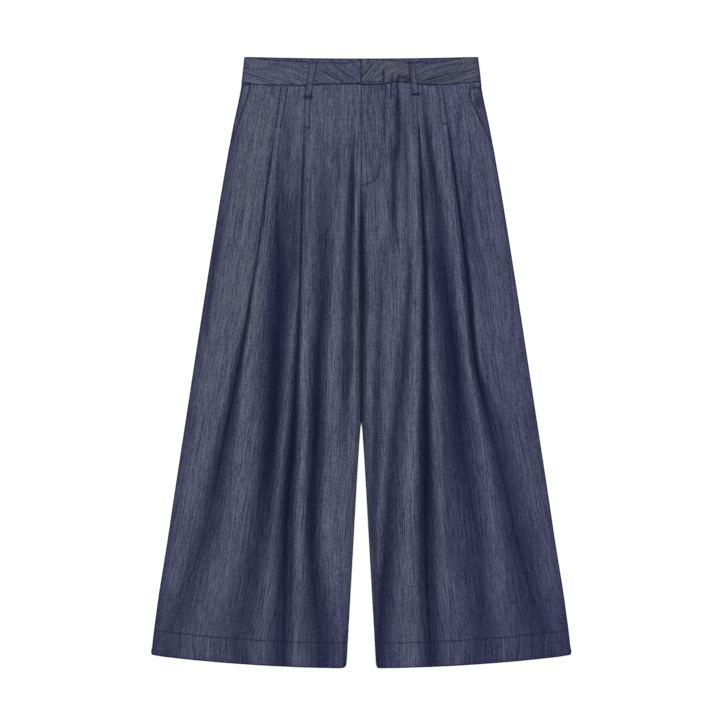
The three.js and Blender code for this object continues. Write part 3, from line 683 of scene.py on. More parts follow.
# Painted shade in the hollow beside the centre seam and between the legs, with its width on each side.
CENTRE_SHADE = {
    "drop": [140, 184, 220, 275, CROTCH, 450, 535, 560],
    "dark": [0, 0.1, 0.55, 1, 0.95, 0.85, 0.95, 0.35],
    "left": [2, 2, 3.5, 4.5, 8, 5, 3, 2],
    "right": [2, 2, 3, 3.6, 3.6, 3.4, 2.2, 2],
}
centre_dark = curve_through(CENTRE_SHADE["drop"], CENTRE_SHADE["dark"])
centre_width = {side: curve_through(CENTRE_SHADE["drop"], CENTRE_SHADE[side]) for side in SIDES}
# Painted highlights along lengthwise lines at the top of the fronts: how pale each is, how far out,
# and how wide to each side.
HIGHLIGHT_LINES = {
    "right": [(0.14, 2.6, 1.6), (0.06, 16, 10)],
    "left": [(0.1, 2.2, 1.4), (0.12, 40.4, 2.4), (0.12, 111, 3)],
}
# How dark the painted shade at the outer edge of a front is, along the pocket and down the side.
OUTER_EDGE_SHADE = {"right": 0.5, "left": 0.7}


def joined(*shades):
    """Several shades over one another."""
    light = 1
    for shade in shades:
        light = light * (1 - clamp(shade))
    return 1 - light


def shaded_edge(distance, band=0.25, inset=3, width=6):
    """A painted shade outline with a softer band of painted shade inside it, over the cloth's rounding at its
    side.
    """
    return joined(0.95 * near(distance, 2), band * near(distance - inset, width))


def side_shade(side, drop, distance):
    """The painted shade along the side of a leg: on the right one a wider band, close to the edge below."""
    if side == "left":
        return shaded_edge(distance, 0.13)
    low = rising(drop, 250, 80)
    band = mix(0.26, 0.2, low) * mix(0.2, 1, rising(drop, 90, 40))
    return shaded_edge(distance, band, mix(8, 5, low), mix(9, 7, low))


# Painted shade over a fold's flanks, with a sharper line of painted shade along a pleat's crease.
def fold_shade(side, name, fold, out, drop):
    away, width = fold_reach(fold, out, drop)
    flanks = ease(1 - np.abs(away) / width)
    if name not in ("outer_pleat", "inner_pleat"):
        return fold["dark"](drop) * flanks
    start = rising(drop, TUCK_END, CREASE_SHADE_START[side])
    crisp = start * falling(drop, 200, 200)
    crease_shade = CREASE_SHADE[side] * start * falling(drop, 340, 280)
    soft = fold["dark"](drop) * (mix(1, 0.55, crisp) * flanks + 0.3 * near(away, 1.8))
    return joined(soft, crease_shade * near(away, mix(1.6, 2, rising(drop, 140, 30))))


# Painted highlight along a fold's inner shoulder, as strong as the fold's painted shade.
def fold_highlight(fold, out, drop):
    inward = fold["inward"](drop)
    return fold["dark"](drop) * near(out - fold["line"](drop) + inward, 0.4 * inward)


def seam_shade(out, distance, seed):
    """The uneven painted shade line along the waist seam, seen from above or below it."""
    strength = 0.78 + 0.22 * ripple(out / 11, out * 0, seed + 1)
    shifted = distance - 0.5 * ripple(out / 5, out * 0, seed + 2)
    return strength * near(shifted, 1 + 0.4 * ripple(out / 4, out * 0, seed))


def hem_shades(drop):
    """The painted shade along the hem's stitching and at its lower edge."""
    return 0.6 * near(drop - HEM_TOP, 0.9), 0.92 * near(LENGTH - drop, 2)


def deepened(shade):
    """The shade whose darkness looks even to the eye; pale values stay as they are."""
    return np.where(shade > 0, shade * (1.63 - 0.63 * shade), shade)


def front_broad_shades(side, out, drop):
    """Broad areas of painted shade on a front, most of them low on the leg."""
    to_side, to_centre = side_seam(drop) - out, out - inseam(drop)
    broad_shades = [
        0.04 * rising(drop, 640, 120) + 0.1 * rising(drop, 760, 120),
        0.12 * rising(drop, 760, 100) * rising(out, 220, 70),
    ]
    if side == "right":
        return broad_shades + [
            0.13 * rising(drop, 770, 60) * ease((64 - out) / 20),
            0.26 * rising(drop, 800, 70) * near(to_centre, 14),
        ]
    fly_panel = 0.04 * falling(out, 32, 8) * falling(drop, 170, 20)
    gathered = 0.13 * near(out - 46, 11) * rising(drop, 50, 20) * falling(drop, 140, 30)
    return broad_shades + [
        0.24 * rising(drop, 830, 50) * near(to_side, 13),
        0.07 * rising(drop, 380, 80) * falling(drop, 690, 60) * falling(out, 40, 40),
        0.08 * rising(drop, 220, 80) * falling(drop, 470, 60) * rising(out, 150, 40),
        fly_panel + gathered,
        0.13 * rising(drop, 400, 160) * rising(out, 90, 60),
    ]


def front_shade(side, out, drop):
    """How much painted shade darkens each point of a front; where negative, painted highlight lightens it."""
    to_centre = out - inseam(drop)
    parted = rising(drop, 480, 60)
    dark = joined(
        *[fold_shade(side, name, fold, out, drop) for name, fold in folds[side].items()],
        creased(FRONT_CREASES[side], out, drop, darkness=True),
        side_shade(side, drop, side_seam(drop) - out),
        OUTER_EDGE_SHADE[side] * near(front_outer(side, drop) - out, 1),
        mix(0.5, 0.85, parted) * near(to_centre, mix(1.0, 1.8, parted)),
        centre_dark(drop) * near(to_centre, centre_width[side](drop)),
        seam_shade(out, drop - WAIST_SEAM, SEEDS["front_seam"]),
        *hem_shades(drop),
        *front_broad_shades(side, out, drop),
        *[sewn_shade(line, out, drop) for line in SEWN[side]],
    )
    # Painted highlights along the folds' inner shoulders, over the right hip and along lines at the top of
    # the fronts lighten what the painted shade leaves.
    highlights = sum(fold_highlight(fold, out, drop) for fold in folds[side].values())
    hip_highlight = 0.05 * rising(out, 95, 40) * falling(drop, 250, 150) if side == "right" else 0
    lines = sum(pale * near(out - at, half) for pale, at, half in HIGHLIGHT_LINES[side])
    return dark - (RIDGE_HIGHLIGHT * highlights + hip_highlight + lines * falling(drop, 112, 26)) * (1 - dark) ** 2


def front_blue(side, out, drop):
    """How much bluer, or if negative greyer, the colour is: it varies slowly over the cloth."""
    lower = rising(drop, 250, 450)
    if side == "right":
        # The bluer strip along the right side edge goes with the painted shade there.
        strip = 0.8 * near(side_seam(drop) - out - 5, 9)
        hem = 0.45 * rising(drop, 780, 80) * near(out - 20, 40)
        return -0.1 + 0.3 * lower - 0.3 * rising(out, 110, 40) * (1 - lower) + strip + hem
    fly = falling(out, 32, 8) * falling(drop, 200, 150)
    outer = rising(out, 80, 70)
    below = mix(0.05, 0.85, outer) + 0.1 * lower + 0.35 * rising(drop, 780, 90) * near(out - 40, 40)
    return mix(mix(0.5 + 0.2 * outer, below, rising(drop, 180, 160)), -0.05, fly)


# ---- Meshes ----


def to_x(side, out):
    return out if side == "left" else -out


def to_y(drop):
    return TOP - drop


def grid_normals(points):
    """Unit normals of a grid of points, level along its edges."""
    normals = np.cross(np.gradient(points, axis=0), np.gradient(points, axis=1))
    normals[[0, -1], :, 1] = 0
    normals[:, [0, -1], 0] = 0
    return normals / np.linalg.norm(normals, axis=2, keepdims=True)


def shell_faces(rows, columns):
    """The quads and rim pentagons of a closed shell. The underside has every other grid point."""
    top = np.arange(rows * columns).reshape(rows, columns)
    under = rows * columns + np.arange((rows + 1) // 2 * ((columns + 1) // 2))
    under = under.reshape((rows + 1) // 2, (columns + 1) // 2)

    def faces(*corners):
        return np.stack([corner.ravel() for corner in corners], axis=1)

    def rim(edge, lower, outward):
        ring = [edge[:-2:2], edge[1:-1:2], edge[2::2], lower[1:], lower[:-1]]
        return faces(*(ring[::-1] if outward else ring))

    quads = [
        faces(top[:-1, :-1], top[1:, :-1], top[1:, 1:], top[:-1, 1:]),
        faces(under[:-1, :-1], under[:-1, 1:], under[1:, 1:], under[1:, :-1]),
    ]
    rims = [
        rim(top[:, 0], under[:, 0], True),
        rim(top[:, -1], under[:, -1], False),
        rim(top[0], under[0], False),
        rim(top[-1], under[-1], True),
    ]
    return np.concatenate(quads), np.concatenate(rims)


def link_object(name, data):
    made = bpy.data.objects.new(name, data)
    bpy.context.scene.collection.objects.link(made)
    return made


def make_mesh(name, vertices, quads, rims=None):
    """A mesh object from arrays, its quads shaded smooth and its rims flat."""
    groups = [quads] if rims is None else [quads, rims]
    sizes = np.concatenate([np.full(len(group), group.shape[1]) for group in groups])
    corners = np.concatenate([group.ravel() for group in groups])
    mesh = bpy.data.meshes.new(name)
    mesh.vertices.add(len(vertices))
    mesh.vertices.foreach_set("co", (np.asarray(vertices) * MM).astype(np.float32).ravel())
    mesh.loops.add(len(corners))
    mesh.loops.foreach_set("vertex_index", corners.astype(np.int32))
    mesh.polygons.add(len(sizes))
    starts = np.concatenate([[0], np.cumsum(sizes)[:-1]])
    mesh.polygons.foreach_set("loop_start", starts.astype(np.int32))
    mesh.polygons.foreach_set("use_smooth", np.arange(len(sizes)) < len(quads))
    mesh.update(calc_edges=True)
    return link_object(name, mesh)


def set_attribute(piece, name, values, kind, key):
    """A value at each vertex from a grid's, first for the top and then for the underside."""
    attribute = piece.data.attributes.new(name, kind, "POINT")
    both = np.concatenate([values.ravel(), values[::2, ::2].ravel()])
    attribute.data.foreach_set(key, both.astype(np.float32))


def shell(points, above, below):
    """The vertices, quads and rims of a closed shell around a grid of middle points."""
    normals = grid_normals(points)
    above, below = (np.broadcast_to(half, points.shape[:2])[..., None] for half in (above, below))
    top, under = points + normals * above, (points - normals * below)[::2, ::2]
    vertices = np.concatenate([top.reshape(-1, 3), under.reshape(-1, 3)])
    return vertices, *shell_faces(*points.shape[:2])


def cloth_shell(name, points, above, below, grain, shade=0.0, blue=0.0):
    """A closed shell of cloth around a grid of middle points; rows run to -Y and columns to +X.

    grain holds each point's place across and along the threads, shade how much painted shade darkens it
    (painted highlight where negative) and blue how blue. Both counts of the grid are odd.
    """
    size = points.shape[:2]
    piece = make_mesh(name, *shell(points, above, below))
    grain = np.concatenate([grain, np.zeros((*size, 1))], axis=2)
    set_attribute(piece, "grain", grain, "FLOAT_VECTOR", "vector")
    for attribute, values in (("shade", deepened(shade)), ("blue", blue)):
        set_attribute(piece, attribute, np.broadcast_to(values, size), "FLOAT", "value")
    return piece


def grid_points(side, out, drop, height):
    """The points of a grid in the row frame, its columns running to +X."""
    return turned(side, np.stack([to_x(side, out), to_y(drop), np.broadcast_to(height, out.shape)], axis=2))


def turned(side, values):
    """Values of a grid in the order of grid_points."""
    return values if side == "left" else values[:, ::-1]


def side_shell(name, side, out, drop, height, *layers, face_down=False):
    """A cloth_shell for one side. Turned face down, its finer face is the underside."""
    grids = [grid_points(side, out, drop, height), *[turned(side, layer) for layer in layers]]
    return cloth_shell(name, *[grid[:, ::-1] if face_down else grid for grid in grids])


def rounded(distance, radius):
    """The share of a cloth's thickness this far from a folded edge."""
    return np.sqrt(1 - (1 - clamp(distance / radius)) ** 2) * 0.9 + 0.1


def spans(*stretches):
    """An odd number of values along stretches of (start, stop, step), each once, in order."""
    counts = [max(1, round((b - a) / step)) for a, b, step in stretches]
    counts[-1] += sum(counts) % 2
    parts = [np.linspace(a, b, n + 1)[:-1] for (a, b, _), n in zip(stretches, counts)]
    return np.concatenate([*parts, [stretches[-1][1]]])


def level(values, columns):
    """A grid with one value along each row."""
    return np.broadcast_to(values[:, None], (len(values), columns))


def from_ends(places):
    """How far each place is from the first one and from the last one."""
    return places - places[0], places[-1] - places


# ---- Finishes ----


def add_node(tree, kind, inputs=(), **settings):
    made = tree.nodes.new(f"ShaderNode{kind}")
    for key, value in settings.items():
        setattr(made, key, value)
    for key, value in dict(inputs).items():
        if isinstance(value, bpy.types.NodeSocket):
            tree.links.new(value, made.inputs[key])
        else:
            made.inputs[key].default_value = value
    return made


def new_material(name):
    material = bpy.data.materials.new(name)
    material.use_nodes = True
    material.node_tree.nodes.clear()
    return material, material.node_tree


def add_surface(tree, inputs):
    shader = add_node(tree, "BsdfPrincipled", inputs)
    add_node(tree, "OutputMaterial", {"Surface": shader.outputs[0]})


def math_node(tree, operation, *values):
    return add_node(tree, "Math", dict(enumerate(values)), operation=operation).outputs[0]


def mix_node(tree, factor, a, b, **settings):
    inputs = {"Factor": factor, "A": a, "B": b}
    return add_node(tree, "Mix", inputs, data_type="RGBA", **settings).outputs["Result"]


def threads(tree, grain, across, along, detail, seed):
    """Noise drawn out along the threads, in cells of across by along millimetres, about 0."""
    inputs = {0: grain, 1: (1 / across, 1 / along, 1), 2: (seed, seed * 1.7, seed * 0.3)}
    scaled = add_node(tree, "VectorMath", inputs, operation="MULTIPLY_ADD").outputs[0]
    inputs = {"Vector": scaled, "Scale": 1.0, "Detail": detail, "Roughness": 0.55}
    noise = add_node(tree, "TexNoise", inputs, noise_dimensions="3D")
    return math_node(tree, "SUBTRACT", noise.outputs[0], 0.5)


def weave_bands(tree, grain, scale, direction):
    inputs = {"Vector": grain, "Scale": scale, "Distortion": 0.6, "Detail": 1.0, "Detail Scale": 2.0}
    return add_node(tree, "TexWave", inputs, bands_direction=direction).outputs["Fac"]


def weighted(tree, parts):
    """The sum of (socket, weight) pairs."""
    total = 0.0
    for socket, weight in parts:
        total = math_node(tree, "MULTIPLY_ADD", socket, weight, total)
    return total


# The colour that painted shade multiplies into the cloth at full strength, and the tint of a full unit of
# blue.
SHADE_TINT = (0.066, 0.073, 0.295, 1)
BLUE_TINT = (0.94, 0.945, 1.07, 1)


def chambray(name, dark, light):
    """Slub chambray: dark threads one way and pale ones across them, long uneven streaks, and painted shade.
    """
    material, tree = new_material(name)
    grain = add_node(tree, "Attribute", attribute_name="grain").outputs["Vector"]
    shade = add_node(tree, "Attribute", attribute_name="shade").outputs["Fac"]
    blue = add_node(tree, "Attribute", attribute_name="blue").outputs["Fac"]
    slubs = threads(tree, grain, 1.1, 110, 2, 3.1)
    streaks = threads(tree, grain, 0.85, 24, 1, 8.7)
    specks = threads(tree, grain, 0.8, 1.5, 1, 5.3)
    picks = threads(tree, grain, 4, 0.8, 1, 2.9)
    mottle = threads(tree, grain, 12, 120, 2, 6.1)
    parts = [(slubs, 1.75), (streaks, 1.45), (specks, 2.15), (picks, 0.5), (mottle, 0.2)]
    tone = math_node(tree, "ADD", weighted(tree, parts), 0.5)
    cloth = mix_node(tree, tone, (*dark, 1), (*light, 1), clamp_factor=True)
    # The blue attribute tints the colour; the shade attribute multiplies in painted shade, and painted
    # highlight where it is negative.
    for factor, tint in ((blue, BLUE_TINT), (shade, SHADE_TINT)):
        cloth = mix_node(tree, factor, cloth, tint, blend_type="MULTIPLY", clamp_factor=False)
    warp = weave_bands(tree, grain, 0.5, "X")
    weft = weave_bands(tree, grain, 0.45, "Y")
    weave = math_node(tree, "MULTIPLY", warp, weft)
    raised = weighted(tree, [(weave, 0.35), (slubs, 1), (streaks, 0.6), (specks, 0.5)])
    bump = add_node(tree, "Bump", {"Height": raised, "Strength": 0.4, "Distance": 0.0002})
    inputs = {
        "Base Color": cloth,
        "Roughness": math_node(tree, "MULTIPLY_ADD", tone, -0.12, 0.9),
        "Normal": bump.outputs[0],
        "Specular IOR Level": 0.18,
        "Sheen Weight": 0.06,
        "Sheen Roughness": 0.45,
        "Sheen Tint": (0.75, 0.8, 1, 1),
    }
    add_surface(tree, inputs)
    return material


def thread_finish(name, colour):
    """Twisted sewing thread, with fine slanting plies painted as shaded and lit bands."""
    material, tree = new_material(name)
    place = add_node(tree, "TexCoord").outputs["Object"]
    ply = add_node(tree, "TexWave", {"Vector": place, "Scale": 900.0}, bands_direction="DIAGONAL")
    shaded, lit = [(*(share * c for c in colour), 1) for share in (0.75, 1.2)]
    tint = mix_node(tree, ply.outputs["Fac"], shaded, lit)
    add_surface(tree, {"Base Color": tint, "Roughness": 0.7, "Specular IOR Level": 0.3})
    return material


def metal_finish(name):
    """Nickel plate with fine brush marks."""
    material, tree = new_material(name)
    place = add_node(tree, "TexCoord").outputs["Object"]
    brushed = add_node(tree, "Mapping", {"Vector": place, "Scale": (400.0, 9000.0, 400.0)})
    marks = add_node(tree, "TexNoise", {"Vector": brushed.outputs[0], "Scale": 1.0})
    rough = math_node(tree, "MULTIPLY_ADD", marks.outputs[0], 0.25, 0.2)
    add_surface(tree, {"Base Color": (0.6, 0.6, 0.62, 1), "Metallic": 1.0, "Roughness": rough})
    return material


def plain_finish(name, colour):
    material, tree = new_material(name)
    add_surface(tree, {"Base Color": (*colour, 1), "Roughness": 0.9, "Specular IOR Level": 0.1})
    return material


CHAMBRAY = chambray("chambray", (0.016, 0.017, 0.056), (0.113, 0.1185, 0.172))
THREAD = thread_finish("sewing_thread", (0.011, 0.012, 0.03))
NICKEL = metal_finish("nickel")
ZIP_TAPE = chambray("zip_tape", (0.008, 0.009, 0.02), (0.02, 0.022, 0.045))
COIL = thread_finish("zip_coil", (0.014, 0.015, 0.03))


def finish_piece(piece, material, slot, *nodes):
    piece.data.materials.append(material)
    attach(piece, "root")
    if nodes:
        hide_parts(*nodes)
    return piece


# ---- Legs ----

# Columns of a front run along these folds, with this many between two of them, crowding there.
LEADING_FOLDS = ["inner_hollow", "inner_pleat", "outer_hollow", "outer_pleat"]
STRIPS = [78, 40, 46, 54, 72]
CROWDING = 0.1
# The rows follow the waist seam's waves less and less over this drop.
SEAM_FADE = 16
HEM_ROWS = [(850, HEM_TOP - 4, 4), (HEM_TOP - 4, HEM_TOP + 4, 1), (HEM_TOP + 4, LENGTH - 3, 3)]
FRONT_ROWS = spans(
    (WAIST_SEAM, POCKET_TOP["left"] - SEAM_GAP, 0.75),
    (POCKET_TOP["left"] - SEAM_GAP, POCKET_TOP["left"] + SEAM_GAP, 2 * SEAM_GAP),
    (POCKET_TOP["left"] + SEAM_GAP, 130, 1.3),
    (130, 200, 2.2),
    (200, CROTCH, 5),
    (CROTCH, 530, 7),
    (530, 600, 2.8),
    (600, 850, 7),
    *HEM_ROWS,
    (LENGTH - 3, LENGTH, 0.75),
)


def front_columns(side, drops):
    """How far out each column of a front lies at each drop, crowding at the folds' bottoms."""
    lines = [folds[side][name]["line"](drops) for name in LEADING_FOLDS]
    stops = [inseam(drops), *lines, front_outer(side, drops)]
    outs = []
    for count, start, stop in zip(STRIPS, stops, stops[1:]):
        k = np.arange(count)
        t = k / count - CROWDING * np.sin(2 * math.pi * k / count)
        outs.append(mix(start[:, None], stop[:, None], t))
    return np.concatenate([*outs, stops[-1][:, None]], axis=1)


def seam_shift(wave, out, drop):
    """How far rows near the waist seam move down to follow its waves."""
    return (wave(out) + SEAM_GAP / 2 - WAIST_SEAM) * falling(drop, WAIST_SEAM, SEAM_FADE)


def front_grain(side, out, drop):
    """Places on the threads of a front. They run straight in each panel between two pleats."""
    inner, outer = folds[side]["inner_pleat"]["line"], folds[side]["outer_pleat"]["line"]
    stops = [inseam, inner, outer, side_seam]
    across = np.zeros(out.shape)
    for k, (start, stop) in enumerate(zip(stops, stops[1:])):
        middle = (start(drop) + stop(drop)) / 2
        inside = out >= start(drop) if k else np.full(out.shape, True)
        across = np.where(inside, out - middle + GRAIN_FROM["panel"] * k, across)
    return np.stack([across, drop], axis=2)


def leg_inside(drop):
    """How far a leg's inner face lies from the middle of its outer layer."""
    return np.where(drop > HEM_TOP, 1.5 * CLOTH, CLOTH / 2) * rounded(LENGTH - drop, 2)


def leg_front(side):
    drop = level(FRONT_ROWS, sum(STRIPS) + 1)
    out = front_columns(side, FRONT_ROWS)
    lowered = drop + seam_shift(seam_wave[side], out, drop) - hem_bend(out, drop)
    lowered += fold_fall(side, out, drop) - corner_cut(out, drop)
    to_side, to_centre = front_outer(side, drop) - out, out - inseam(drop)
    thickness = rounded(to_side, 2.5) * rounded(to_centre, 1.5) * rounded(LENGTH - drop, 2)
    thickness = thickness * rounded(drop - WAIST_SEAM + 0.2, 2)
    return side_shell(
        f"cloth_front_{side}",
        side,
        out,
        lowered,
        front_surface(side, out, drop),
        CLOTH / 2 * thickness,
        leg_inside(drop),
        front_grain(side, out, drop),
        front_shade(side, out, drop),
        front_blue(side, out, drop),
    )


BACK_COLUMN_COUNT = 161
BACK_ROWS = spans(
    (WAIST_SEAM, 70, 2.5), (70, 180, 4), (180, 850, 8), *HEM_ROWS, (LENGTH - 3, LENGTH, 1)
)
DART = {"column": 68, "end": 150}
# The backs' own shallow creases, in rows like the fronts'. They rise from the surface under them.
BACK_CREASES = [
    (-1.3, 9, 0.4, (52, 190), (60, 330), (66, 480), (70, 640)),
    (-1.5, 11, 0.45, (112, 170), (132, 320), (150, 470), (168, 650)),
    (-0.9, 7, 0.3, (30, 250), (28, 420), (34, 560)),
    (-1.1, 9, 0.35, (176, 340), (205, 560), (222, 700)),
    (-1.2, 10, 0.4, (98, 520), (104, 640), (108, 780)),
    (-0.8, 8, 0.25, (48, 640), (52, 820)),
    (-0.9, 10, 0.3, (236, 680), (254, 860)),
    (-0.5, 5, 0.25, (4, 176), (30, 196), (52, 204)),
    (-0.4, 4, 0.22, (3, 214), (22, 236), (36, 244)),
]


def level_seam(out):
    return np.full(np.shape(out), float(WAIST_SEAM))


def from_dart(out):
    """The distance of each point from the dart, which runs down one column of the back."""
    return out - out[:, DART["column"]][:, None]


def back_shade(out, drop):
    """How much painted shade darkens each point of a back."""
    return joined(
        creased(BACK_CREASES, out, drop, darkness=True),
        shaded_edge(side_seam(drop) - out, 0.13),
        0.75 * near(out - inseam(drop), 1.6),
        seam_shade(out, drop - WAIST_SEAM, SEEDS["back_seam"]),
        *hem_shades(drop),
        0.6 * (near(from_dart(out), 1.3) * falling(drop, DART["end"] - 8, 8)),
        0.08 * rising(drop, 640, 200),
    )


def leg_back(side):
    drop = level(BACK_ROWS, BACK_COLUMN_COUNT)
    share = np.linspace(0, 1, BACK_COLUMN_COUNT)
    share = share - 0.06 * np.sin(2 * math.pi * share)
    out = mix(inseam(drop), side_seam(drop), share)
    lowered = drop + seam_shift(level_seam, out, drop) - hem_bend(out, drop)
    lowered -= corner_cut(out, drop)
    edges = rounded(side_seam(drop) - out, 1.5) * rounded(out - inseam(drop), 1.5)
    dart = 0.3 * near(from_dart(out), 1.6) * falling(drop, DART["end"] - 20, 20)
    across = out - 0.5 * (side_seam(drop) + inseam(drop))
    return side_shell(
        f"cloth_back_{side}",
        side,
        out,
        lowered,
        back_height(drop) - creased(BACK_CREASES, out, drop),
        CLOTH / 2 * edges * rounded(LENGTH - drop, 2) - dart,
        leg_inside(drop),
        np.stack([across + GRAIN_FROM["back"], drop], axis=2),
        back_shade(out, drop),
        np.full(out.shape, 0.3),
        face_down=True,
    )


# ---- Pockets ----

POCKET_ROWS = spans((WAIST_SEAM, 150, 1.5), (150, 276, 4))
POCKET_COLUMN_COUNT = 61


def pocket_seam(side):
    """The pocket reaches at least to the straight seam's level, and further where the seam dips."""
    return lambda out: np.maximum(WAIST_SEAM, seam_wave[side](out))


def pocket_broad_shade(side, out, drop):
    """The left facing has painted shade where it turns in under the slanted edge."""
    return 0.02 if side == "right" else 0.04 + 0.6 * near(out - 175.5, 5) * near(drop - 67, 12)


def pocket(side):
    drop = level(POCKET_ROWS, POCKET_COLUMN_COUNT)
    outer = side_seam(drop) - bag_inset(drop)
    out = mix(bag_inner(drop), outer, np.linspace(0, 1, POCKET_COLUMN_COUNT))
    edge = pocket_edge[side](drop)
    shown = near(out - edge - 8, 5) * ease((POCKET_END - drop) / 20)
    height = pocket_height(drop) + 0.25 * ripple(out / 9, drop / 26, SEEDS["facing"]) * shown
    half = STRIP / 2 * rounded(outer - out, 1.5)
    grain = np.stack([out - side_seam(drop) + GRAIN_FROM["pocket"], drop], axis=2)
    # Painted shade under the front's slanted edge, along the pocket's top and at its side.
    shade = joined(
        pocket_broad_shade(side, out, drop),
        0.6 * near(np.maximum(out - edge, 0), 1.6),
        0.7 * near(drop - max(POCKET_TOP[side], WAIST_SEAM), 1.8),
        shaded_edge(side_seam(drop) - out, 0.12),
    )
    lowered = drop + seam_shift(pocket_seam(side), out, drop)
    return side_shell(f"cloth_pocket_{side}", side, out, lowered, height, half, half, grain, shade)


# ---- Waistband ----

SIDE = float(side_seam(41))
BAND_ROW_COUNT = 51
# How steeply the threads of the diagonally cut band slope, in degrees, from the centre to the side.
BAND_GRAIN = {
    "right": {"out": [0, 60, 120, 180], "angle": [38, 28, 17, 12]},
    "left": {"out": [0, 16, 40, 90, 180], "angle": [54, 46, 30, 20, 14]},
}
# How much higher the seam of the right band's hidden end lies than the left one's.
HIDDEN_TUCK = 1


def back_edge(out):
    """The drop of the back waistband's upper edge, which dips towards the centre line."""
    return BACK_DIP["middle"] * (1 - clamp(np.abs(out) / BACK_DIP["half"]) ** 2)


def band_side(out, share):
    return out * mix(float(side_seam(0)), SIDE, share) / SIDE


def band_shares():
    """The share of the band's depth at each of its rows, which crowd at its edges."""
    t = np.linspace(0, 1, BAND_ROW_COUNT)
    return (t - 0.08 * np.sin(2 * math.pi * t))[:, None]


def slanted_grain(side, out, drop):
    """Places across and along threads that slant by the side's angles."""
    table = BAND_GRAIN[side]
    outs = np.linspace(0, SIDE, 200)
    tangents = np.tan(np.radians(curve_through(table["out"], table["angle"])(outs)))
    fall = np.concatenate([[0], np.cumsum((tangents[1:] + tangents[:-1]) / 2 * np.diff(outs))])
    across = drop + np.interp(out, outs, fall)
    return np.stack([across * 0.85, out * 0.9 + GRAIN_FROM["band"]], axis=2)


def band_broad_shade(side, out, drop):
    """Broad areas of painted shade on a front waistband."""
    if side == "left":
        return 0.05 + 0.05 * near(out - 97, 12) + 0.11 * near(out - 121, 14) + 0.06 * near(out - 154, 7)
    return mix(0.1, 0, rising(out, 68, 14)) + 0.1 * near(out - 127, 12) * falling(drop, 20, 6)


def band_shade(side, out, drop):
    """How much painted shade darkens each point of a front waistband."""
    loop = FRONT_LOOPS[side]
    middle = mix(loop["top"], loop["end"], clamp(drop / loop["end_drop"]))
    shade = joined(
        band_broad_shade(side, out, drop),
        0.8 * near(drop - front_edge[side](out), 1.1),
        seam_shade(out, drop - seam_wave[side](out), SEEDS["band_seam"]),
        creased(BAND_CREASES[side], out, drop, darkness=True),
        0.25 * near(np.abs(out - middle) - LOOP_WIDTH / 2 - 0.6, 1.2),
        shaded_edge(band_side(SIDE, drop / WAIST_SEAM) - out, 0.1),
    )
    # The right band's outer part gets a little painted highlight.
    return shade - 0.04 * (rising(out, 68, 14) * (side == "right"))


def band_height(side, out, drop):
    """The height of the middle of a front waistband, padded and creased, over the lap or not."""
    base = FRONT_BAND + LAP_RISE * in_lap(out) if side == "left" else FRONT_BAND
    edge = front_edge[side](out)
    pillow = 0.35 * np.sin(math.pi * clamp((drop - edge) / (WAIST_SEAM - edge)))
    uneven = 0.22 * ripple(out / 17, drop / 15, SEEDS["band"][side])
    return base + pillow + uneven - creased(BAND_CREASES[side], out, drop)


def band_grid(outs, top, seam):
    """Where a band's grid lies, between its top edge and its seam."""
    share = band_shares()
    out = np.broadcast_to(outs, (BAND_ROW_COUNT, len(outs)))
    return out, band_side(out, share), mix(top(out), seam(out) - SEAM_GAP / 2, share)


def band_half(places, first_radius=1.2):
    """Half of a band's thickness, rounded at its edges and at the first and last of its columns."""
    share = band_shares()
    edges = rounded(share * WAIST_SEAM + 0.1, 2) * rounded((1 - share) * WAIST_SEAM + 0.1, 2)
    before, after = from_ends(places)
    return BAND / 2 * edges * rounded(before + 0.1, first_radius) * rounded(after + 0.1, 1.2)


def waistband_front_left():
    outs = spans((SEAM_GAP / 2, 3, 0.4), (3, 90, 0.8), (90, SIDE, 1))
    laid, out, drop = band_grid(outs, front_edge["left"], seam_wave["left"])
    half = band_half(outs, 1.5)
    # Painted shade along the lap's end and along a second sewn line near the seam.
    shade = joined(
        band_shade("left", out, drop),
        (0.65 + 0.3 * ripple(drop / 5, drop * 0, SEEDS["lap_end"])) * near(out, 1.1),
        sewn_shade((0.7, 0.8, (1, 38.8), (32, 38)), out, drop),
    )
    return side_shell(
        "cloth_waistband_front_left",
        "left",
        out,
        drop,
        band_height("left", laid, drop),
        half,
        half,
        slanted_grain("left", out, drop),
        shade,
        -0.65 - 0.8 * near(out - 40, 22) * near(drop - 20, 14),
    )


def waistband_front_right():
    """The right band and, in one piece with it, its flat end under the left one."""
    wave = seam_wave["right"]
    outs = spans((SEAM_GAP / 2, 90, 0.8), (90, SIDE, 1))
    laid, out, drop = band_grid(outs, front_edge["right"], wave)

    def level_edge(o):
        return front_edge["right"](0 * o)

    def tucked_seam(o):
        return np.minimum(wave(0.0), seam_wave["left"](o)) - HIDDEN_TUCK

    tucked = np.linspace(LAP_LENGTH / 16, LAP_LENGTH, 16)
    _, under, under_drop = band_grid(tucked, level_edge, tucked_seam)
    height = band_height("right", laid, drop)
    parts = [grid_points("right", out, drop, height), grid_points("left", under, under_drop, FRONT_BAND)]
    points = np.concatenate(parts, axis=1)
    grains = [turned("right", slanted_grain("right", out, drop)), slanted_grain("right", -under, under_drop)]
    half = band_half(np.arange(points.shape[1]) * 1.0)
    # Painted shade at the band's centre end.
    shade = np.zeros(points.shape[:2])
    shade[:, : len(outs)] = turned("right", joined(band_shade("right", out, drop), 0.6 * near(out, 1.5)))
    name = "cloth_waistband_front_right"
    return cloth_shell(name, points, half, half, np.concatenate(grains, axis=1), shade)


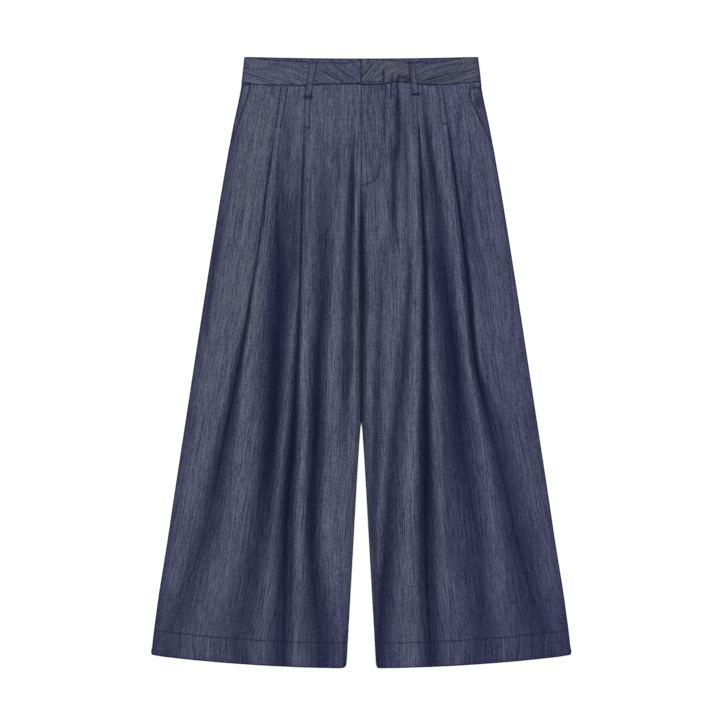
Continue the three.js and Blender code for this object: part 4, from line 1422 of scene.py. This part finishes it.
def waistband_back():
    _, out, drop = band_grid(spans((0, SIDE, 2.2)), back_edge, level_seam)

    def both_sides(grid, *values):
        """A grid's right side and its left one, which share the centre line."""
        return np.concatenate([grid("right", *values)[:, :-1], grid("left", *values)], axis=1)

    points = both_sides(grid_points, out, drop, BACK_BAND)
    grain = both_sides(turned, slanted_grain("right", out, drop))
    half = band_half(np.arange(points.shape[1]) * 2.0)
    fall = band_shares() * WAIST_SEAM
    # Painted shade on the strip of the band that shows above the front ones, darkest at its top edge.
    shade = joined(0.14, 0.85 * near(fall, 1.4)) * ease((20 - fall) / 10)
    return cloth_shell("cloth_waistband_back", points, half, half, grain, shade, 0.6)


# ---- Belt loops ----

LOOP_COLUMN_COUNT = 17
# How far the middle of a loop lies above the face under it.
LOOP_CLEAR = SEAM_GAP + STRIP / 2
# How far above the middle of a loop its stitches lie.
ON_LOOP = 0.62


def loop_strip(name, side, middles, drops, heights, seed):
    """A folded strip along middles, with rounded edges and a slight hollow between its stitches."""
    t = np.linspace(-0.5, 0.5, LOOP_COLUMN_COUNT)[None, :]
    x = to_x(side, middles)[:, None] + t * LOOP_WIDTH
    drop = level(drops, LOOP_COLUMN_COUNT)
    height = level(heights, LOOP_COLUMN_COUNT) + 0.08 * ripple(x / 3, drop / 6, seed)
    to_edge = LOOP_WIDTH * (0.5 - np.abs(t))
    to_end = np.minimum(*from_ends(np.arange(len(drops)) * 1.0))[:, None]
    half = 0.55 * rounded(to_edge, 1.1) * rounded(to_end, 1.5)
    front_left = name == "belt_loop_front_left_cloth"
    # Painted shade at the loop's edges and ends and across the waist seam, with a little over all of it and
    # more over the upper part of the left front loop.
    shade = joined(
        0.06 + 0.14 * falling(drop, 34, 6) * front_left,
        np.where(to_x(side, t) > 0, 0.32, 0.45 if front_left else 0.66) * near(to_edge, 0.9),
        0.5 * near(drop - WAIST_SEAM - 0.5, 1),
        0.5 * near(drop - drops[0], 1),
        0.95 * near(drops[-1] - drop, 1.7),
    )
    blue = mix(-0.9 if side == "left" else -0.1, 0.3, ease((drop - WAIST_SEAM + 6) / 8))
    grain = np.stack([x + GRAIN_FROM["loop"] + seed * 50, drop], axis=2)
    return cloth_shell(name, np.stack([x, to_y(drop), height], axis=2), half, half, grain, shade, blue)


def loop_start(side):
    """The drop of a front loop's upper end, at the waistband's edge."""
    return float(front_edge[side](FRONT_LOOPS[side]["top"]))


def front_loop_heights(side, drops):
    """The heights of a loop that bows over the band and steps down to the front, where it is sewn."""
    loop = FRONT_LOOPS[side]
    on_band = FRONT_BAND + BAND / 2 + LOOP_CLEAR + 0.4
    across = np.linspace(loop["end"] - LOOP_WIDTH, loop["end"] + LOOP_WIDTH, 9)
    tallest = float(np.max(front_height(side, across, np.full(9, float(loop["end_drop"])))))
    on_front = max(on_band, tallest + CLOTH / 2 + LOOP_CLEAR)
    half = WAIST_SEAM / 2
    bow = 1.2 * np.sin(math.pi * clamp(drops / WAIST_SEAM)) ** 2
    return mix(on_band, on_front, rising(drops, half, half - 4)) + bow


def front_loop_middles(side, drops):
    loop, start = FRONT_LOOPS[side], loop_start(side)
    return mix(loop["top"], loop["end"], (drops - start) / (loop["end_drop"] - start))


def front_loop(side):
    drops = spans((loop_start(side), FRONT_LOOPS[side]["end_drop"], 0.9))
    middles, heights = front_loop_middles(side, drops), front_loop_heights(side, drops)
    return loop_strip(f"belt_loop_front_{side}_cloth", side, middles, drops, heights, SEEDS["loop"][side])


def back_loop(name, x, seed):
    drops = spans((BACK_LOOP["top"] + float(back_edge(x)), BACK_LOOP["end"], 1.8))
    middles, heights = np.full(len(drops), float(x)), np.full(len(drops), STRIP / 2 + 0.1)
    return loop_strip(name, "left", middles, drops, heights, seed)


# ---- Stitches ----

STITCH = {"length": 2.5, "pitch": 3.3, "radius": 0.24, "sides": 6}
# A stitch's stations along its length, and its radius and dip there as shares of the radius.
STATIONS = np.array([-0.5, -0.42, -0.2, 0.2, 0.42, 0.5])
RADII = np.array([0.15, 0.7, 1, 1, 0.7, 0.15])
DIPS = np.array([-0.9, -0.4, 0, 0, -0.4, -0.9])
CAP = np.array([(0, 3, 2, 1), (0, 5, 4, 3)])


def walk(points, pitch):
    """Points every pitch along a path, with the directions there."""
    points = np.asarray(points, float)
    lengths = np.linalg.norm(np.diff(points, axis=0), axis=1)
    along = np.concatenate([[0], np.cumsum(lengths)])
    at = np.arange(pitch / 2, along[-1], pitch)

    def places(shift):
        return np.stack([np.interp(at + shift, along, points[:, k]) for k in range(3)], axis=1)

    directions = places(0.5) - places(-0.5)
    return places(0), directions / np.linalg.norm(directions, axis=1, keepdims=True)


def capsules(places, directions, length, radius):
    """Vertices and quads of small round-ended stitches that dip into the cloth at both ends."""
    sideways = np.cross(directions, [0.0, 0, 1])
    sideways /= np.linalg.norm(sideways, axis=1, keepdims=True)
    lift = np.cross(sideways, directions)
    radii, dips = RADII * radius, DIPS * radius
    angles = np.arange(STITCH["sides"]) * 2 * math.pi / STITCH["sides"]
    places, directions, lift, sideways = (a[:, None, None, :] for a in (places, directions, lift, sideways))
    rings = (
        places
        + directions * (STATIONS * length)[None, :, None, None]
        + lift * dips[None, :, None, None]
        + sideways * (radii[:, None] * np.cos(angles))[None, :, :, None]
        + lift * (radii[:, None] * np.sin(angles))[None, :, :, None]
    )
    base = np.arange(len(STATIONS) * STITCH["sides"]).reshape(len(STATIONS), -1)
    after = np.roll(base, -1, axis=1)
    sides = np.stack([base[:-1], after[:-1], after[1:], base[1:]], axis=2).reshape(-1, 4)
    one = np.concatenate([sides, base[0][CAP], base[-1][CAP[:, ::-1]]])
    offsets = np.arange(len(places)) * base.size
    return rings.reshape(-1, 3), (one[None] + offsets[:, None, None]).reshape(-1, 4)


def sewn(name, lines, pitch=STITCH["pitch"], length=STITCH["length"]):
    """One piece for stitches along several lines."""
    walks = [walk(line, pitch) for line in lines]
    places, directions = (np.concatenate(parts) for parts in zip(*walks))
    vertices, quads = capsules(places, directions, length, STITCH["radius"])
    return finish_piece(make_mesh(name, vertices, quads), THREAD, "chambray")


def on_front(side, outs, drops, lift=0.12):
    """Points on the upper side of a front."""
    outs, drops = np.broadcast_arrays(np.asarray(outs, float), np.asarray(drops, float))
    heights = front_surface(side, outs, drops) + CLOTH / 2 + lift
    lowered = drops + seam_shift(seam_wave[side], outs, drops) - hem_bend(outs, drops)
    return np.stack([to_x(side, outs), to_y(lowered), heights], axis=1)


def tuck_lines(side):
    drops = np.linspace(WAIST_SEAM + 2, TUCK_END, 40)
    lines = []
    for tuck in TUCKS[side]:
        start, stop = tuck_edges(tuck, drops)
        lines += [on_front(side, start + 0.4, drops), on_front(side, stop - 0.4, drops)]
        across = np.linspace(tuck["end"][0] - 0.5, tuck["end"][1] + 0.5, 8)
        lines.append(on_front(side, across, TUCK_END))
    return lines


def hem_outs():
    return np.linspace(float(inseam(HEM_TOP)) + 1, float(side_seam(HEM_TOP)) - 1, 300)


def hem_lines(side):
    return [on_front(side, hem_outs(), HEM_TOP, lift=-0.02)]


def back_hem_lines(side):
    outs = hem_outs()
    lowered = HEM_TOP - hem_bend(outs, HEM_TOP)
    return [np.stack([to_x(side, outs), to_y(lowered), np.full(300, 0.13)], axis=1)]


def pocket_lines(side):
    drops = np.linspace(max(POCKET_TOP[side], WAIST_SEAM) + 2, POCKET_END - 3, 60)
    return [on_front(side, pocket_edge[side](drops) - inset, drops) for inset in (2.2, 7.5)]


def fly_line():
    path = np.array(FLY_LINE, float)
    lengths = np.concatenate([[0], np.cumsum(np.hypot(*np.diff(path, axis=0).T))])
    along = np.linspace(3, lengths[-1], 120)
    return on_front("left", np.interp(along, lengths, path[:, 0]), np.interp(along, lengths, path[:, 1]))


def loop_lines(side):
    drops = np.linspace(loop_start(side) + 1, FRONT_LOOPS[side]["end_drop"] - 1, 40)
    heights = front_loop_heights(side, drops) + ON_LOOP
    middles = to_x(side, front_loop_middles(side, drops))
    return [np.stack([middles + share * LOOP_WIDTH, to_y(drops), heights], axis=1) for share in (-0.34, 0.34)]


def both(lines):
    """The lines of stitches on both sides."""
    return [*lines("left"), *lines("right")]


def bar_tack(centre, width, depth=1.8, count=13):
    """Close cross stitches over a line across a strip."""
    x, y, z = centre
    lines = []
    for k in range(count):
        at = x + width * (k / (count - 1) - 0.5)
        lean = 0.35 if k % 2 else -0.35
        lines.append([(at - lean, y - depth / 2, z), (at + lean, y + depth / 2, z)])
    return lines


def bar_tacks():
    """One piece with a bar tack across both ends of each front loop."""
    lines = []
    for side in SIDES:
        for drop in (FRONT_LOOPS[side]["end_drop"] - 2, loop_start(side) + 2.5):
            at = np.array([float(drop)])
            x, height = to_x(side, front_loop_middles(side, at)[0]), front_loop_heights(side, at)[0]
            lines += bar_tack((x, to_y(float(drop)), height + ON_LOOP), LOOP_WIDTH - 1)
    lines = np.array(lines)
    directions = lines[:, 1] - lines[:, 0]
    length = float(np.linalg.norm(directions[0]))
    directions /= np.linalg.norm(directions, axis=1, keepdims=True)
    vertices, quads = capsules(lines.mean(axis=1), directions, length, STITCH["radius"])
    return finish_piece(make_mesh("stitches_bar_tacks", vertices, quads), THREAD, "chambray")


# ---- Fastenings ----

# The zip's tapes, the coil's teeth between them, and the slider at the top with its pull.
ZIP = {"half": 13, "inner": 0.5, "top": 48, "bottom": 190, "rise": 0.6, "play": 0.1, "tape": 0.26}
TEETH = {"pitch": 1.1, "length": 3.6, "middle": 1.3, "radius": 0.42, "height": 0.14}
SLIDER = {
    "drop": [51, 51.6, 53.6, 55.6, 57.4, 59, 59.8],
    "half": [1.4, 2.8, 3.4, 3.2, 2.7, 2, 1.2],
    "heights": (0.76, -0.46),
    "plate": 0.14,
}
POST = {"drop": [51.4, 52.4, 53.4], "half": [0.3, 0.5, 0.3]}
PULL = {"drop": [58.6, 60.4, 62, 66, 70, 71.6, 72.4], "half": [0.7, 0.8, 1.1, 1.5, 1.7, 1.4, 0.6]}


def zip_height(drops):
    """The height of the zip's tapes, under both fronts and clear of the backs."""
    outs = np.linspace(SEAM_GAP / 2, ZIP["half"], 12)[None, :]
    heights = [front_surface(side, outs, drops[:, None]).min(axis=1) for side in SIDES]
    under = np.minimum(*heights) - CLOTH / 2 - SEAM_GAP - ZIP["rise"] - ZIP["play"]
    return np.maximum(under, back_height(drops) + CLOTH / 2 + SEAM_GAP + SLIDER["plate"])


def zip_tape(side):
    drops = spans((ZIP["top"], ZIP["bottom"], 2.4))
    out, drop = np.meshgrid(spans((ZIP["inner"], ZIP["half"], 0.8)), drops)
    half = ZIP["tape"] * rounded(out - ZIP["inner"], 0.5) * rounded(ZIP["half"] - out, 0.5)
    grain = np.stack([out + GRAIN_FROM["zip"], drop], axis=2)
    # A darker line along the tape, 2 mm inside its outer edge, carried in the shade attribute.
    tape_line = 0.25 * near(out - ZIP["half"] + 2, 0.6)
    height = zip_height(drops)[:, None]
    return side_shell(f"zip_tape_{side}", side, out, drop, height, half, half, grain, tape_line)


def zip_teeth():
    """Teeth that reach past the middle from both sides in turn, with a stop at each end."""
    drops = np.arange(ZIP["top"] + 2, ZIP["bottom"] - 3, TEETH["pitch"])
    reach = np.where(np.arange(len(drops)) % 2, 1, -1) * TEETH["middle"]
    drops = np.concatenate([drops, [ZIP["top"] + 0.8] * 2, ZIP["bottom"] - np.array([2.2, 1.4])])
    reach = np.concatenate([reach, [TEETH["middle"] + 0.6, -TEETH["middle"] - 0.6, 0, 0]])
    places = np.stack([reach, to_y(drops), zip_height(drops) + TEETH["height"]], axis=1)
    directions = np.tile([1.0, 0, 0], (len(drops), 1))
    return make_mesh("zip_teeth", *capsules(places, directions, TEETH["length"], TEETH["radius"]))


def metal_plate(table, lift, half, across=7):
    """A thin plate, as wide at each drop as the table says, with rounded edges."""
    drops = np.linspace(table["drop"][0], table["drop"][-1], 25)
    share = np.linspace(-1, 1, across)[None, :]
    width = curve_through(table["drop"], table["half"])(drops)[:, None]
    height = level(zip_height(drops) + lift, across)
    thick = half * rounded(width * (1 - np.abs(share)), 0.3)
    return shell(np.stack([share * width, to_y(level(drops, across)), height], axis=2), thick, thick)


def zip_slider():
    """Two plates joined by a post, with the pull lying on the upper one."""
    shells = [metal_plate(SLIDER, lift, SLIDER["plate"]) for lift in SLIDER["heights"]]
    shells += [metal_plate(POST, 0.15, 0.6, 3), metal_plate(PULL, 0.76, SLIDER["plate"])]
    vertices, quads, rims = zip(*shells)
    counts = np.cumsum([0] + [len(part) for part in vertices])
    quads, rims = (
        np.concatenate([part + count for part, count in zip(parts, counts)]) for parts in (quads, rims)
    )
    return make_mesh("zip_slider", np.concatenate(vertices), quads, rims)


# ---- The garment ----

MAKERS = {"front": leg_front, "back": leg_back, "pocket": pocket, "belt_loop_front": front_loop}
WAISTBANDS = {
    "waistband_front_left": waistband_front_left,
    "waistband_front_right": waistband_front_right,
    "waistband_back": waistband_back,
}
BACK_LOOP_PLACES = {"left": BACK_LOOP["out"], "right": -BACK_LOOP["out"], "centre": 0}
for side in SIDES:
    for part, make in MAKERS.items():
        node = f"{part}_{side}"
        finish_piece(make(side), CHAMBRAY, "chambray", node)
for k, (place, x) in enumerate(BACK_LOOP_PLACES.items()):
    node = f"belt_loop_back_{place}"
    made = back_loop(f"{node}_cloth", x, SEEDS["back_loops"] + k)
    finish_piece(made, CHAMBRAY, "chambray", node)
for node, make in WAISTBANDS.items():
    finish_piece(make(), CHAMBRAY, "chambray", node)

sewn("stitches_tucks", both(tuck_lines))
sewn("stitches_hems", both(hem_lines))
sewn("stitches_back_hems", both(back_hem_lines))
sewn("stitches_pockets", both(pocket_lines))
sewn("stitches_fly", [fly_line()], pitch=2.8, length=2.2)
sewn("stitches_loops", both(loop_lines), pitch=2.6, length=2)
bar_tacks()

for side in SIDES:
    finish_piece(zip_tape(side), ZIP_TAPE, "zip_tape", "zip")
finish_piece(zip_teeth(), COIL, "zip_tape", "zip")
finish_piece(zip_slider(), NICKEL, "nickel", "zip")
for node in (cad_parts["waist_bar"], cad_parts["waist_hook"]):
    node.data.materials.clear()
    node.data.materials.append(NICKEL)

# ---- Cloth sheets ----

# The flat size of each sheet in metres, its area where it isn't a rectangle, how it is held, and
# what it lies on or is sewn to.
LOOP_SHEET = {"flat": (0.0103, 0.058), "held": "stretched"}
SHEETS = {}
for side in SIDES:
    back, bag = f"back_{side}", f"pocket_{side}"
    SHEETS |= {
        f"front_{side}": {"flat": (0.36, 0.93), "area": 0.285, "held": "laid", "rests_on": [back, bag]},
        back: {"flat": (0.31, 0.93), "area": 0.235, "held": "laid", "rests_on": ["floor"]},
        bag: {"flat": (0.09, 0.24), "area": 0.0165, "held": "laid", "rests_on": [back]},
        f"zip_{side}": {"flat": (0.0125, 0.142), "held": "laid", "rests_on": [back]},
        f"belt_loop_front_{side}": {**LOOP_SHEET, "rests_on": [f"waistband_front_{side}"]},
        f"belt_loop_back_{side}": {**LOOP_SHEET, "rests_on": ["waistband_back"]},
    }
SHEETS |= {
    "belt_loop_back_centre": {**LOOP_SHEET, "rests_on": ["waistband_back"]},
    "waistband_front_left": {
        "flat": (0.182, 0.04),
        "area": 0.0066,
        "held": "laid",
        "rests_on": ["waistband_back", "waistband_front_right"],
    },
    "waistband_front_right": {
        "flat": (0.218, 0.04),
        "area": 0.0079,
        "held": "laid",
        "rests_on": ["waistband_back"],
    },
    "waistband_back": {"flat": (0.362, 0.04), "held": "laid", "rests_on": ["belt_loop_back_centre"]},
}

# ---- Surroundings ----

FLOOR = {"half": 6, "height": -0.0003}
# The camera looks straight down. The view is this wide on the surface.
VIEW = {"width": 1081.4 * MM, "lens": 85, "sensor": 36, "x": -1.9 * MM, "y": 3.4 * MM}


def add_floor():
    mesh = bpy.data.meshes.new("floor")
    corners = [(-1, -1), (1, -1), (1, 1), (-1, 1)]
    places = [(x * FLOOR["half"], y * FLOOR["half"], FLOOR["height"]) for x, y in corners]
    mesh.from_pydata(places, [], [(0, 1, 2, 3)])
    mesh.materials.append(plain_finish("white_floor", (0.93, 0.93, 0.93)))
    link_object("floor", mesh)


def add_lamp(name, direction, strength, softness):
    """Even light from one direction, softened over this angle in degrees."""
    data = bpy.data.lights.new(name, "SUN")
    data.energy = strength
    data.angle = math.radians(softness)
    lamp = link_object(name, data)
    lamp.rotation_mode = "QUATERNION"
    lamp.rotation_quaternion = Vector(direction).to_track_quat("-Z", "Y")


def add_sky(strength):
    world = bpy.data.worlds.new("soft_room")
    world.use_nodes = True
    background = world.node_tree.nodes["Background"]
    background.inputs["Color"].default_value = (1, 1, 1, 1)
    background.inputs["Strength"].default_value = strength
    bpy.context.scene.world = world


def add_camera():
    data = bpy.data.cameras.new("camera")
    data.lens, data.sensor_width = VIEW["lens"], VIEW["sensor"]
    camera = link_object("camera", data)
    camera.location = (VIEW["x"], VIEW["y"], VIEW["width"] * VIEW["lens"] / VIEW["sensor"])
    bpy.context.scene.camera = camera


add_floor()
add_lamp("soft_overhead", (0, 0, -1), 3.05, 35)
add_sky(0.2)
add_camera()
bpy.context.scene.view_settings.view_transform = "Standard"
